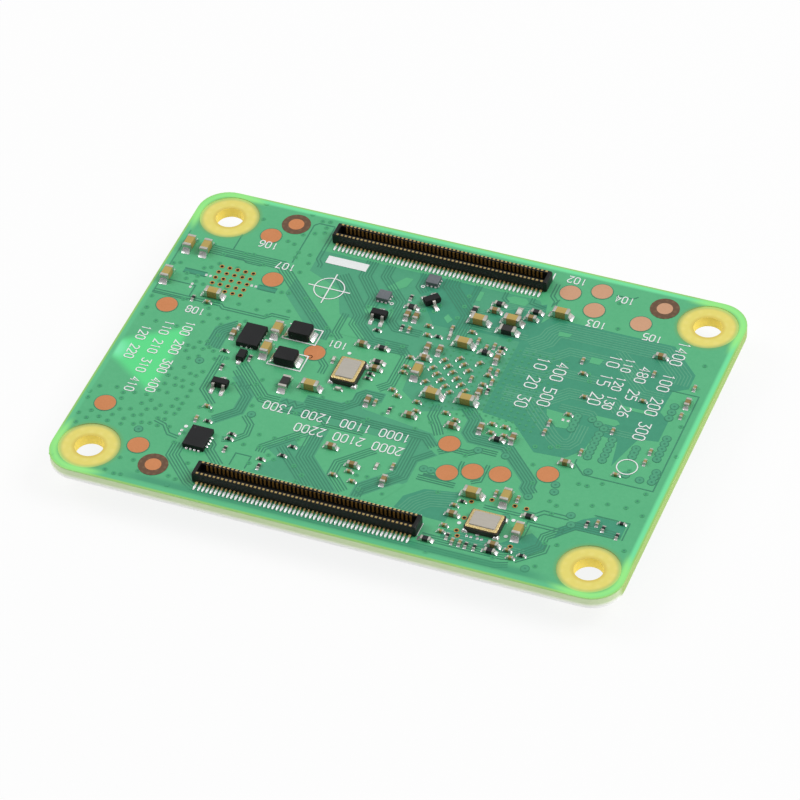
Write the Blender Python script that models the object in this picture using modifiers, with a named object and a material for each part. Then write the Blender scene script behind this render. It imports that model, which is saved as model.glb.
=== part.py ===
"""System on module: a small circuit board with its two board-to-board headers facing up.

The module stands on the lid of its processor, which is on the face turned down. The origin is on
the surface it stands on, under the middle of the board. +X runs along the board, +Y across it and
+Z up through the headers. All lengths are in metres and all angles in degrees.
"""

import math

import bmesh
import bpy
from mathutils import Matrix

# Circuit board
BOARD_LENGTH = 0.055
BOARD_WIDTH = 0.040
BOARD_THICKNESS = 0.0012
BOARD_CORNER_RADIUS = 0.003
BOARD_CORNER_STEPS = 6
HOLE_DIAMETER = 0.0027
HOLE_INSET = 0.0035
SEAT_DIAMETER = 0.0057
SEAT_DEPTH = 0.00006
ROUND_STEPS = 24

# The layout is drawn on a grid with this many squares along the board, and between its headers
GRID_COLUMNS = 55
GRID_ROWS = 34
GRID_SQUARE = 0.001
SOLDER_GAP = 0.00004
FUSE_DEPTH = 0.0001

# Board-to-board headers
HEADER_EDGE_INSET = 0.003
HEADER_SHIFT_X = -0.00253
HEADER_SHIFT_Y = 0.00006
HEADER_DEPTH = 0.00178
HEADER_HEIGHT = 0.00111
HEADER_END_WALL = 0.0004
HEADER_SIDE_WALL = 0.00038
HEADER_FLOOR = 0.00028
CONTACTS_PER_ROW = 50
CONTACT_PITCH = 0.0004
CONTACT_WIDTH = 0.0002
CONTACT_PROUD = 0.00004
CREST_INSET = 0.00002
FITTING_OFFSET = 0.00045
FITTING_WIDTH = 0.00022
TAIL_WIDTH = 0.00016
TAIL_REACH = 0.00078
TAIL_THICKNESS = 0.00014
TAIL_ROOT = 0.0001

# Chip capacitors and resistors, in four case sizes
SMALL_LENGTH = 0.0006
SMALL_WIDTH = 0.0003
SMALL_CAPACITOR_HEIGHT = 0.0003
SMALL_RESISTOR_HEIGHT = 0.00023
MEDIUM_LENGTH = 0.0010
MEDIUM_WIDTH = 0.0005
MEDIUM_CAPACITOR_HEIGHT = 0.0005
MEDIUM_RESISTOR_HEIGHT = 0.00035
LARGE_LENGTH = 0.0016
LARGE_WIDTH = 0.0008
LARGE_HEIGHT = 0.0008
LARGE_CAP_LENGTH = 0.0003
BULK_LENGTH = 0.0020
BULK_WIDTH = 0.00125
BULK_HEIGHT = 0.00125
BULK_CAP_LENGTH = 0.0004
END_CAP_PROUD = 0.00002
BEAD_HEIGHT = 0.00062

# Moulded power inductors
INDUCTOR_LENGTH = 0.00205
INDUCTOR_WIDTH = 0.00165
INDUCTOR_HEIGHT = 0.00093
COIL_LENGTH = 0.0025
COIL_WIDTH = 0.0020
COIL_HEIGHT = 0.0012
INDUCTOR_CORNER = 0.0002
TERMINAL_PROUD = 0.00012
TERMINAL_SHARE = 0.7
TERMINAL_HEIGHT = 0.0005

# Crystals
CRYSTAL_LENGTH = 0.0032
CRYSTAL_WIDTH = 0.0025
CRYSTAL_BASE_HEIGHT = 0.00052
CRYSTAL_LID_HEIGHT = 0.00022
CRYSTAL_LID_INSET = 0.0001
CRYSTAL_LID_SLOPE = 0.00016
CRYSTAL_SEAM = 0.00002

# Three-lead transistors
TRANSISTOR_LENGTH = 0.0016
TRANSISTOR_WIDTH = 0.0008
TRANSISTOR_HEIGHT = 0.00072
TRANSISTOR_DRAFT = 0.00006
LEAD_WIDTH = 0.00026
LEAD_THICKNESS = 0.00012
LEAD_REACH = 0.00055
LEAD_FOOT = 0.00028
LEAD_EXIT_HEIGHT = 0.00042
LEAD_PAIR_PITCH = 0.001

# Chips on the upper face, as length, width and height
SWITCH_SIDE = 0.0012
SWITCH_HEIGHT = 0.0005
REGULATOR_LENGTH = 0.0021
REGULATOR_WIDTH = 0.0028
REGULATOR_HEIGHT = 0.00055
INTERFACE_LENGTH = 0.00206
INTERFACE_WIDTH = 0.0026
INTERFACE_HEIGHT = 0.0005
DIODE_BODY_LENGTH = 0.0012
DIODE_LENGTH = 0.0017
DIODE_WIDTH = 0.0008
DIODE_HEIGHT = 0.00055
DIODE_TAB_WIDTH = 0.0003
DIODE_TAB_HEIGHT = 0.00015

# Processor, which the module rests on
PROCESSOR_SIDE = 0.015
PROCESSOR_BALL_GAP = 0.0003
PROCESSOR_SUBSTRATE = 0.0008
LID_MARGIN = 0.0004
LID_FLANGE = 0.0005
LID_FLANGE_WIDTH = 0.0012
LID_CROWN = 0.00074
LID_CHAMFER = 0.0002

# Other chips on the lower face
BALL_GAP = 0.00025
MEMORY_LENGTH = 0.010
MEMORY_WIDTH = 0.0145
MEMORY_HEIGHT = 0.0008
FLASH_LENGTH = 0.013
FLASH_WIDTH = 0.0115
FLASH_HEIGHT = 0.0009
NETWORK_SIDE = 0.007
CONTROLLER_SIDE = 0.005
FLAT_CHIP_HEIGHT = 0.00085
CHIP_EDGE = 0.00015

# Wireless chip and the can over it
CAN_LENGTH = 0.011
CAN_WIDTH = 0.0095
CAN_HEIGHT = 0.0014
CAN_WALL = 0.00015
CAN_CORNER_RADIUS = 0.0006
WIRELESS_LENGTH = 0.0055
WIRELESS_WIDTH = 0.0045
WIRELESS_HEIGHT = 0.0006

# Coaxial antenna receptacle
RECEPTACLE_SIDE = 0.0026
RECEPTACLE_BASE_HEIGHT = 0.00035
RECEPTACLE_SHELL_RADIUS = 0.001
RECEPTACLE_SHELL_WALL = 0.00018
RECEPTACLE_SHELL_HEIGHT = 0.00085
RECEPTACLE_PIN_RADIUS = 0.00026
RECEPTACLE_PIN_HEIGHT = 0.0006
RECEPTACLE_STEPS = 18

# Places on the layout grid, in squares from the middle of the board, read from the photograph
SMALL_CAPACITORS_ALONG = (
    (-21.28, 4.62), (-15.78, -8.40), (-5.30, -2.40), (-0.52, -0.90), (0.13, -1.50),
    (-0.47, 8.20), (-0.12, 7.00), (-0.52, 3.66), (-0.47, 2.36), (-0.47, 1.60),
    (3.68, 8.70), (7.05, 7.00), (7.10, 3.70), (7.08, 2.40), (2.18, -1.70),
    (2.53, -2.85), (5.18, -2.20), (6.33, -2.80), (9.68, -2.20), (10.93, -2.20),
    (9.98, -3.30), (11.25, -3.30), (0.33, -13.20), (-1.62, -12.95), (-0.38, -12.10),
    (10.10, -13.05), (16.50, -16.80), (17.05, -17.60),
    (15.23, 6.75), (16.40, 3.85), (15.80, 1.20), (21.60, 5.05), (22.40, -4.75),
)
SMALL_CAPACITORS_ACROSS = (
    (-17.17, 2.45), (-16.10, -10.20), (-7.15, 1.10), (-2.02, 7.20), (-1.42, -2.95),
    (1.73, 8.60), (1.87, 7.60), (4.63, 7.80), (5.63, 7.15), (6.28, 7.60),
    (7.03, 4.45), (7.73, 4.40), (7.73, 3.05), (5.78, 2.81), (3.13, -10.20),
    (11.50, -17.30), (12.20, -17.30), (15.20, -10.45), (13.10, -10.40), (14.63, 8.40),
    (20.30, 0.50), (21.40, 8.80), (25.50, 8.20), (25.50, 4.35), (14.50, -0.30),
    (14.50, -1.60), (24.40, -0.95), (24.35, -2.40), (18.50, -3.00), (22.90, -11.05),
)
SMALL_RESISTORS_ALONG = (
    (-17.15, -1.00), (-14.98, -10.20), (-4.80, 6.13), (-3.25, 0.43), (-3.25, -0.20),
    (0.87, 7.12), (7.05, 7.60), (-12.25, -11.05), (-12.25, -11.70), (-6.40, -10.80),
    (-6.85, -12.15), (-8.50, -13.20), (10.60, -12.35), (17.90, -17.00), (24.95, -10.40),
)
SMALL_RESISTORS_ACROSS = (
    (-22.81, 4.76), (-14.56, -1.13), (-16.56, -3.07), (-3.42, 11.35), (-2.75, 7.25),
    (7.75, 1.80), (0.15, -3.50), (-12.10, -13.00), (-8.35, -14.10), (1.70, -10.60),
    (10.85, -16.80), (12.80, -17.35), (13.60, -17.35), (22.05, -11.40), (23.60, -11.50),
    (25.05, -12.00),
)
MEDIUM_CAPACITORS_ALONG = (
    (-5.39, 3.84), (-3.07, 1.15), (0.72, 3.95), (4.66, 12.05), (8.20, 12.15),
    (21.26, 11.10), (17.66, -4.85), (15.10, -16.65), (-0.40, -11.30), (-3.10, -9.70),
    (2.16, -3.60), (6.30, -3.65), (10.30, -14.20),
)
MEDIUM_CAPACITORS_ACROSS = (
    (-17.25, 1.32), (-2.86, 8.91), (-2.00, 8.91), (0.53, 5.36), (1.70, 5.37),
    (7.10, 6.00), (7.10, 1.20), (25.56, 6.00), (3.00, -12.20), (-2.14, -3.05),
    (8.90, -3.10), (12.10, -3.40),
)
MEDIUM_RESISTORS_ALONG = (
    (-2.90, 10.11), (-3.46, 3.96), (-3.15, 2.06), (5.75, 6.45), (4.73, 13.10),
    (8.35, 13.15), (16.85, -12.25), (15.05, -17.40), (10.80, -3.95),
)
MEDIUM_RESISTORS_ACROSS = ((2.82, 11.50), (6.85, 12.60))
LARGE_CAPACITORS_ALONG = (
    (-21.14, 5.68), (-7.80, -3.05), (3.51, 6.80), (3.16, -0.50), (6.40, -0.25),
    (3.76, 10.20), (6.71, 11.15), (10.69, 13.50), (11.15, -11.30),
)
LARGE_CAPACITORS_ACROSS = (
    (-26.00, 11.47), (-24.28, 11.44), (-26.35, 6.82), (-13.50, 3.00), (-13.50, 0.20),
    (0.79, 1.94), (14.20, -10.83), (16.66, -14.43),
)
BEAD_SPOTS = ((-10.15, -3.45, 90.0), (6.72, 9.80, 0.0))
INDUCTOR_SPOTS = ((-11.28, 3.32), (-11.28, -0.33))
TRANSISTOR_SPOTS = ((-15.74, -5.43, 0.0), (-5.31, 7.97, 0.0), (-1.36, 11.38, 225.0))
SWITCH_SPOTS = ((-5.82, 10.52), (-2.19, 14.02))
MAIN_CRYSTAL_SPOT = (-5.18, -0.17)
NETWORK_CRYSTAL_SPOT = (13.55, -14.50)
REGULATOR_SPOT = (-15.44, 1.44)
INTERFACE_SPOT = (-14.86, -12.69)
DIODE_X = -15.35
DIODE_CLEARANCE = 0.00044
HEADER_END_CAPACITORS_Y = (-15.70, -16.50)
HEADER_END_RESISTOR_Y = -17.85
HEADER_END_CLEARANCE = 0.0009

# The lattice of small capacitors between the processor's vias, turned 45 degrees
LATTICE_ORIGIN = (1.88, 0.41)
LATTICE_PITCH = 0.00065
LATTICE_SIZE = (7, 8)
LATTICE_PERIOD = 3
LATTICE_SKIPPED = ((0, 7), (6, 4))

# Places on the lower face, seen from above through the board
PROCESSOR_X = 3.7
PROCESSOR_CLEARANCE = 0.00205
MEMORY_X = 19.2
FLASH_X = -0.5
FLASH_EDGE_INSET = 0.00195
NETWORK_SPOT = (13.5, -13.3)
CAN_SPOT = (-15.0, -9.0)
CONTROLLER_SPOT = (-20.35, 8.15)
RECEPTACLE_X = -17.6
RECEPTACLE_CLEARANCE = 0.00155
COIL_SPOTS = ((-21.3, 13.0), (-17.3, 13.0), (-14.9, 9.4), (-14.9, 6.2))
BULK_SPOTS = ((-25.2, 9.6), (-25.2, 6.0), (-10.6, 11.2), (-10.6, 7.4))
ROW_CLEARANCE = 0.0009
ROW_PITCH = 0.0013
NETWORK_ROW_COUNT = 5
MEMORY_ROW_COUNT = 8
PROCESSOR_ROW_COUNT = 10
FLASH_ROW_COUNT = 6

BOARD_BOTTOM = (
    SOLDER_GAP + PROCESSOR_BALL_GAP + PROCESSOR_SUBSTRATE + SOLDER_GAP + LID_FLANGE + LID_CROWN
)
BOARD_TOP = BOARD_BOTTOM + BOARD_THICKNESS
HEADER_LENGTH = (
    (CONTACTS_PER_ROW - 1) * CONTACT_PITCH
    + 2 * (FITTING_OFFSET + FITTING_WIDTH / 2 + CONTACT_PROUD + HEADER_END_WALL)
)
GRID_X = BOARD_LENGTH / GRID_COLUMNS
GRID_Y = (BOARD_WIDTH - 2 * HEADER_EDGE_INSET) / GRID_ROWS
FLASH_SPOT = (FLASH_X, (FLASH_EDGE_INSET + FLASH_WIDTH / 2 - BOARD_WIDTH / 2) / GRID_Y)
PROCESSOR_SPOT = (
    PROCESSOR_X, FLASH_SPOT[1] + (FLASH_WIDTH / 2 + PROCESSOR_CLEARANCE + PROCESSOR_SIDE / 2) / GRID_Y
)
MEMORY_SPOT = (MEMORY_X, PROCESSOR_SPOT[1])
RECEPTACLE_SPOT = (
    RECEPTACLE_X, CAN_SPOT[1] - (CAN_WIDTH / 2 + RECEPTACLE_CLEARANCE + RECEPTACLE_SIDE / 2) / GRID_Y
)
DIODE_SPOT = (
    DIODE_X, REGULATOR_SPOT[1] - (REGULATOR_WIDTH / 2 + DIODE_CLEARANCE + DIODE_LENGTH / 2) / GRID_Y
)
LID_SIDE = PROCESSOR_SIDE - 2 * LID_MARGIN
LID_CROWN_SIDE = LID_SIDE - 2 * LID_FLANGE_WIDTH
UPPER = 1
LOWER = -1

FINISHES = {
    "solder_mask": ((0.10, 0.42, 0.25), 0.40, 0.0),
    "black_polymer": ((0.02, 0.02, 0.022), 0.45, 0.0),
    "epoxy": ((0.03, 0.03, 0.033), 0.55, 0.0),
    "ceramic_tan": ((0.48, 0.36, 0.18), 0.45, 0.0),
    "ceramic_black": ((0.06, 0.055, 0.05), 0.45, 0.0),
    "plated_lid": ((0.50, 0.47, 0.44), 0.35, 1.0),
    "gold": ((0.85, 0.66, 0.30), 0.30, 1.0),
    "laminate": ((0.08, 0.25, 0.14), 0.50, 0.0),
}


def clear_scene():
    """Removes every object of the scene."""
    for obj in list(bpy.data.objects):
        bpy.data.objects.remove(obj, do_unlink=True)


def make_collection(name):
    """Links a new collection to the scene."""
    collection = bpy.data.collections.new(name)
    bpy.context.scene.collection.children.link(collection)
    return collection


def make_material(name, finish):
    """Gives one part its own material in one of the named finishes."""
    colour, roughness, metallic = FINISHES[finish]
    material = bpy.data.materials.new(name)
    material.use_nodes = True
    shader = material.node_tree.nodes["Principled BSDF"]
    shader.inputs["Base Color"].default_value = (*colour, 1.0)
    shader.inputs["Roughness"].default_value = roughness
    shader.inputs["Metallic"].default_value = metallic
    return material


class Assembly:
    """The collections, the root empty and the ways to add a part to them."""

    def __init__(self):
        self.parts = make_collection("system_on_module")
        self.tools = make_collection("cutters_and_joiners")
        self.root = bpy.data.objects.new("module_origin", None)
        self.parts.objects.link(self.root)

    def add(self, name, shape, finish):
        """Turns a bmesh into a named part with its own material."""
        mesh = bpy.data.meshes.new(name)
        shape.to_mesh(mesh)
        shape.free()
        mesh.materials.append(make_material(name, finish))
        obj = bpy.data.objects.new(name, mesh)
        obj.parent = self.root
        self.parts.objects.link(obj)
        return obj

    def combine(self, target, name, shape, operation, crossing=False):
        """Cuts a helper shape from the target, or joins it to it, with a Boolean modifier.

        A helper made of pieces that may cross each other is marked as crossing.
        """
        mesh = bpy.data.meshes.new(name)
        shape.to_mesh(mesh)
        shape.free()
        tool = bpy.data.objects.new(name, mesh)
        tool.parent = target
        tool.hide_render = True
        tool.display_type = "WIRE"
        self.tools.objects.link(tool)
        modifier = target.modifiers.new(name, "BOOLEAN")
        modifier.operation = operation
        modifier.object = tool
        modifier.solver = "EXACT"
        modifier.use_self = crossing


def add_box(shape, size, centre, turn=0.0):
    """Adds a box of this size about its centre, turned about the vertical."""
    place = Matrix.Translation(centre) @ Matrix.Rotation(math.radians(turn), 4, "Z")
    return bmesh.ops.create_cube(shape, size=1.0, matrix=place @ Matrix.Diagonal((*size, 1.0)))


def add_cylinder(shape, radius, bottom, top, spot=(0.0, 0.0), steps=ROUND_STEPS):
    """Adds an upright closed cylinder between two heights."""
    place = Matrix.Translation((*spot, (bottom + top) / 2))
    bmesh.ops.create_cone(
        shape, cap_ends=True, segments=steps, radius1=radius, radius2=radius, depth=top - bottom, matrix=place
    )


def standing_box(size):
    """A box that stands on the plane z = 0."""
    shape = bmesh.new()
    add_box(shape, size, (0.0, 0.0, size[2] / 2))
    return shape


def is_upright(edge):
    """True for an edge that runs along Z."""
    start, end = (vertex.co for vertex in edge.verts)
    return abs(start.x - end.x) + abs(start.y - end.y) < abs(start.z - end.z) * 1e-3


def round_corners(shape, radius, steps):
    """Rounds the upright edges of a shape."""
    edges = [edge for edge in shape.edges if is_upright(edge)]
    bmesh.ops.bevel(shape, geom=edges, offset=radius, segments=steps, profile=0.5, affect="EDGES")


def bevel_rim(shape, height, width, steps=1):
    """Bevels the edges that lie in the horizontal plane at this height."""
    edges = [
        edge for edge in shape.edges
        if all(abs(vertex.co.z - height) < width * 1e-2 for vertex in edge.verts)
    ]
    bmesh.ops.bevel(shape, geom=edges, offset=width, segments=steps, profile=0.5, affect="EDGES")


def stepped_bar(sections):
    """A closed bar along X through rectangular sections, each given as x, width, bottom and top."""
    shape = bmesh.new()
    rings = []
    for x, width, bottom, top in sections:
        corners = ((-width / 2, bottom), (width / 2, bottom), (width / 2, top), (-width / 2, top))
        rings.append([shape.verts.new((x, y, z)) for y, z in corners])
    shape.faces.new(list(reversed(rings[0])))
    shape.faces.new(rings[-1])
    for first, second in zip(rings, rings[1:]):
        for i in range(4):
            j = (i + 1) % 4
            shape.faces.new((first[i], first[j], second[j], second[i]))
    bmesh.ops.recalc_face_normals(shape, faces=shape.faces)
    return shape


def add_profile(shape, outline, width, place):
    """Adds a plate whose outline is given in its Y and Z, extruded along its X and then placed."""
    verts = [shape.verts.new((-width / 2, y, z)) for y, z in outline]
    face = shape.faces.new(verts)
    moved = bmesh.ops.extrude_face_region(shape, geom=[face])["geom"]
    new_verts = [item for item in moved if isinstance(item, bmesh.types.BMVert)]
    bmesh.ops.translate(shape, verts=new_verts, vec=(width, 0.0, 0.0))
    bmesh.ops.transform(shape, matrix=place, verts=verts + new_verts)
    bmesh.ops.recalc_face_normals(shape, faces=shape.faces)


def on_board(spot):
    """Turns a place on the layout grid into metres from the middle of the board."""
    return spot[0] * GRID_X, spot[1] * GRID_Y


def stand(obj, spot, turn=0.0, face=UPPER, gap=SOLDER_GAP):
    """Stands a part on one face of the board, its foot a solder joint away from it."""
    x, y = on_board(spot)
    if face == UPPER:
        obj.location = (x, y, BOARD_TOP + gap)
        obj.rotation_euler = (0.0, 0.0, math.radians(turn))
    else:
        obj.location = (x, y, BOARD_BOTTOM - gap)
        obj.rotation_euler = (math.pi, 0.0, math.radians(turn))
    return obj


def hole_spots():
    """The middles of the four mounting holes, in metres."""
    x = BOARD_LENGTH / 2 - HOLE_INSET
    y = BOARD_WIDTH / 2 - HOLE_INSET
    return [(sx * x, sy * y) for sx in (-1, 1) for sy in (-1, 1)]


def header_spots():
    """The middles of the rear and front headers, in metres."""
    y = BOARD_WIDTH / 2 - HEADER_EDGE_INSET
    return [(HEADER_SHIFT_X, HEADER_SHIFT_Y + sy * y) for sy in (1, -1)]


def lattice_spots():
    """Every third diagonal of a square lattice, without the points that other parts take."""
    columns, rows = LATTICE_SIZE
    points = [(i, j) for i in range(columns) for j in range(rows)]
    kept = [(i, j) for i, j in points if (i + j) % LATTICE_PERIOD == 1 and (i, j) not in LATTICE_SKIPPED]
    x, y = LATTICE_ORIGIN
    step = LATTICE_PITCH / GRID_SQUARE
    return [(x + i * step, y + j * step) for i, j in kept]


def add_chips(shape, spots, size, turn, face=UPPER):
    """Adds a chip part at each place, sunk a little into the board that it is soldered to."""
    length, width, height = size
    reach = height + FUSE_DEPTH
    middle = reach / 2 - FUSE_DEPTH
    z = BOARD_TOP + middle if face == UPPER else BOARD_BOTTOM - middle
    for spot in spots:
        x, y = on_board(spot)
        add_box(shape, (length, width, reach), (x, y, z), turn)


def row_beside(spot, reach_x, reach_y, side, count):
    """Places in a row along one side of a chip, given by the direction that points to the row."""
    x, y = on_board(spot)
    run = [(i - (count - 1) / 2) * ROW_PITCH for i in range(count)]
    if side[0]:
        line = [(x + side[0] * (reach_x / 2 + ROW_CLEARANCE), y + offset) for offset in run]
    else:
        line = [(x + offset, y + side[1] * (reach_y / 2 + ROW_CLEARANCE)) for offset in run]
    return [(px / GRID_X, py / GRID_Y) for px, py in line]


def build_board(assembly):
    """The laminate with its mounting holes and bare seats, and the small parts soldered to it."""
    shape = bmesh.new()
    add_box(shape, (BOARD_LENGTH, BOARD_WIDTH, BOARD_THICKNESS), (0, 0, (BOARD_TOP + BOARD_BOTTOM) / 2))
    round_corners(shape, BOARD_CORNER_RADIUS, BOARD_CORNER_STEPS)
    board = assembly.add("pcb", shape, "solder_mask")

    seats = bmesh.new()
    holes = bmesh.new()
    for spot in hole_spots():
        add_cylinder(seats, SEAT_DIAMETER / 2, BOARD_TOP - SEAT_DEPTH, BOARD_TOP + BOARD_THICKNESS, spot)
        add_cylinder(
            holes, HOLE_DIAMETER / 2, BOARD_BOTTOM - BOARD_THICKNESS, BOARD_TOP + BOARD_THICKNESS, spot
        )
    assembly.combine(board, "bare_seats", seats, "DIFFERENCE")
    assembly.combine(board, "mounting_holes", holes, "DIFFERENCE")

    small_capacitor = (SMALL_LENGTH, SMALL_WIDTH, SMALL_CAPACITOR_HEIGHT)
    small_resistor = (SMALL_LENGTH, SMALL_WIDTH, SMALL_RESISTOR_HEIGHT)
    medium_capacitor = (MEDIUM_LENGTH, MEDIUM_WIDTH, MEDIUM_CAPACITOR_HEIGHT)
    medium_resistor = (MEDIUM_LENGTH, MEDIUM_WIDTH, MEDIUM_RESISTOR_HEIGHT)
    chips = bmesh.new()
    add_chips(chips, SMALL_CAPACITORS_ALONG, small_capacitor, 0)
    add_chips(chips, SMALL_CAPACITORS_ACROSS, small_capacitor, 90)
    add_chips(chips, lattice_spots(), small_capacitor, 45)
    add_chips(chips, SMALL_RESISTORS_ALONG, small_resistor, 0)
    add_chips(chips, SMALL_RESISTORS_ACROSS, small_resistor, 90)
    add_chips(chips, MEDIUM_CAPACITORS_ALONG, medium_capacitor, 0)
    add_chips(chips, MEDIUM_CAPACITORS_ACROSS, medium_capacitor, 90)
    add_chips(chips, MEDIUM_RESISTORS_ALONG, medium_resistor, 0)
    add_chips(chips, MEDIUM_RESISTORS_ACROSS, medium_resistor, 90)
    header_end = HEADER_SHIFT_X + HEADER_LENGTH / 2
    resistor_x = (header_end + HEADER_END_CLEARANCE) / GRID_X
    add_chips(chips, [(resistor_x, HEADER_END_RESISTOR_Y)], medium_resistor, 0)
    crystal_edge = NETWORK_CRYSTAL_SPOT[0] * GRID_X - CRYSTAL_LENGTH / 2
    capacitor_x = (header_end + crystal_edge) / 2 / GRID_X
    add_chips(chips, [(capacitor_x, y) for y in HEADER_END_CAPACITORS_Y], small_capacitor, 0)

    above_processor = row_beside(PROCESSOR_SPOT, PROCESSOR_SIDE, PROCESSOR_SIDE, (0, 1), PROCESSOR_ROW_COUNT)
    left_of_processor = row_beside(PROCESSOR_SPOT, PROCESSOR_SIDE, PROCESSOR_SIDE, (-1, 0), MEMORY_ROW_COUNT)
    right_of_memory = row_beside(MEMORY_SPOT, MEMORY_LENGTH, MEMORY_WIDTH, (1, 0), MEMORY_ROW_COUNT)
    right_of_flash = row_beside(FLASH_SPOT, FLASH_LENGTH, FLASH_WIDTH, (1, 0), FLASH_ROW_COUNT)
    right_of_network = row_beside(NETWORK_SPOT, NETWORK_SIDE, NETWORK_SIDE, (1, 0), NETWORK_ROW_COUNT)
    add_chips(chips, above_processor, medium_capacitor, 90, LOWER)
    add_chips(chips, left_of_processor, medium_capacitor, 0, LOWER)
    add_chips(chips, right_of_memory, small_capacitor, 0, LOWER)
    add_chips(chips, right_of_flash, small_capacitor, 0, LOWER)
    add_chips(chips, right_of_network, small_resistor, 0, LOWER)
    assembly.combine(board, "soldered_chips", chips, "UNION", crossing=True)
    return board


def build_header(assembly, name, centre):
    """One board-to-board header: a trough of black plastic with two rows of formed contacts.

    Each contact stands proud of the crest of its side wall and leaves the foot of the wall as a
    tail that slopes down to the board. A wider metal fitting ends each row.
    """
    shape = standing_box((HEADER_LENGTH, HEADER_DEPTH, HEADER_HEIGHT))
    header = assembly.add(name, shape, "black_polymer")
    trough_length = HEADER_LENGTH - 2 * HEADER_END_WALL
    trough_width = HEADER_DEPTH - 2 * HEADER_SIDE_WALL
    trough = bmesh.new()
    add_box(trough, (trough_length, trough_width, HEADER_HEIGHT), (0, 0, HEADER_FLOOR + HEADER_HEIGHT / 2))
    assembly.combine(header, name + "_trough", trough, "DIFFERENCE")

    contacts = bmesh.new()
    first = -(CONTACTS_PER_ROW - 1) * CONTACT_PITCH / 2
    places = [(first + i * CONTACT_PITCH, CONTACT_WIDTH, TAIL_WIDTH) for i in range(CONTACTS_PER_ROW)]
    fitting = FITTING_WIDTH
    places.append((first - FITTING_OFFSET, fitting, fitting))
    places.append((-first + FITTING_OFFSET, fitting, fitting))
    outer = HEADER_DEPTH / 2
    crest_low = HEADER_HEIGHT - CONTACT_PROUD / 2
    crest = (
        (outer - HEADER_SIDE_WALL + CREST_INSET, crest_low), (outer - CREST_INSET, crest_low),
        (outer - HEADER_SIDE_WALL / 2, HEADER_HEIGHT + CONTACT_PROUD),
    )
    tail = ((outer - TAIL_ROOT, 0.0), (outer + TAIL_REACH, 0.0), (outer - TAIL_ROOT, TAIL_THICKNESS))
    for x, width, tail_width in places:
        for turn in (0.0, math.pi):
            place = Matrix.Translation((x, 0, 0)) @ Matrix.Rotation(turn, 4, "Z")
            add_profile(contacts, crest, width, place)
            add_profile(contacts, tail, tail_width, place)
    assembly.combine(header, name + "_contacts", contacts, "UNION")
    header.location = (centre[0], centre[1], BOARD_TOP + SOLDER_GAP)
    return header


def build_chip_capacitor(assembly, name, size, cap_length, finish="ceramic_tan"):
    """A ceramic block between two slightly larger plated end caps."""
    length, width, height = size
    half = length / 2
    slim = width - 2 * END_CAP_PROUD
    bottom = END_CAP_PROUD
    top = height - END_CAP_PROUD
    sections = (
        (-half, width, 0.0, height), (-half + cap_length, width, 0.0, height),
        (-half + cap_length, slim, bottom, top), (half - cap_length, slim, bottom, top),
        (half - cap_length, width, 0.0, height), (half, width, 0.0, height),
    )
    return assembly.add(name, stepped_bar(sections), finish)


def build_capacitors(assembly):
    """The larger capacitors and the two ferrite beads, each a part of its own."""
    size = (LARGE_LENGTH, LARGE_WIDTH, LARGE_HEIGHT)
    spots = [(spot, 0.0) for spot in LARGE_CAPACITORS_ALONG]
    spots += [(spot, 90.0) for spot in LARGE_CAPACITORS_ACROSS]
    for number, (spot, turn) in enumerate(spots, 1):
        stand(build_chip_capacitor(assembly, f"capacitor_{number:02d}", size, LARGE_CAP_LENGTH), spot, turn)
    bead = (LARGE_LENGTH, LARGE_WIDTH, BEAD_HEIGHT)
    for number, (x, y, turn) in enumerate(BEAD_SPOTS, 1):
        part = build_chip_capacitor(assembly, f"ferrite_bead_{number}", bead, LARGE_CAP_LENGTH, "ceramic_black")
        stand(part, (x, y), turn)
    bulk = (BULK_LENGTH, BULK_WIDTH, BULK_HEIGHT)
    for number, spot in enumerate(BULK_SPOTS, 1):
        part = build_chip_capacitor(assembly, f"bulk_capacitor_{number}", bulk, BULK_CAP_LENGTH)
        stand(part, spot, 90.0, LOWER)


def build_inductor(assembly, name, size, corner_steps):
    """A moulded block with rounded corners and a terminal at each end."""
    length, width = size[:2]
    shape = standing_box(size)
    round_corners(shape, INDUCTOR_CORNER, corner_steps)
    part = assembly.add(name, shape, "ceramic_black")
    ends = bmesh.new()
    terminal = (length / 4 + TERMINAL_PROUD, width * TERMINAL_SHARE, TERMINAL_HEIGHT)
    for side in (-1, 1):
        add_box(ends, terminal, (side * (length / 2 - length / 8 + TERMINAL_PROUD / 2), 0, TERMINAL_HEIGHT / 2))
    assembly.combine(part, name + "_terminals", ends, "UNION")
    return part


def build_inductors(assembly):
    """Two inductors on the upper face and four larger ones on the lower face."""
    for number, spot in enumerate(INDUCTOR_SPOTS, 1):
        size = (INDUCTOR_LENGTH, INDUCTOR_WIDTH, INDUCTOR_HEIGHT)
        stand(build_inductor(assembly, f"buck_inductor_{number}", size, 3), spot)
    for number, spot in enumerate(COIL_SPOTS, 1):
        size = (COIL_LENGTH, COIL_WIDTH, COIL_HEIGHT)
        stand(build_inductor(assembly, f"supply_inductor_{number}", size, 1), spot, 0.0, LOWER)


def build_crystal(assembly, name, spot, turn):
    """A ceramic base and the plated lid that is brazed on it."""
    base = standing_box((CRYSTAL_LENGTH, CRYSTAL_WIDTH, CRYSTAL_BASE_HEIGHT))
    round_corners(base, CRYSTAL_LID_INSET, 1)
    stand(assembly.add(name + "_base", base, "ceramic_black"), spot, turn)
    inset = 2 * CRYSTAL_LID_INSET
    lid = standing_box((CRYSTAL_LENGTH - inset, CRYSTAL_WIDTH - inset, CRYSTAL_LID_HEIGHT))
    round_corners(lid, CRYSTAL_LID_SLOPE, 2)
    bevel_rim(lid, CRYSTAL_LID_HEIGHT, CRYSTAL_LID_SLOPE)
    gap = SOLDER_GAP + CRYSTAL_BASE_HEIGHT + CRYSTAL_SEAM
    stand(assembly.add(name + "_lid", lid, "plated_lid"), spot, turn, gap=gap)


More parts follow.
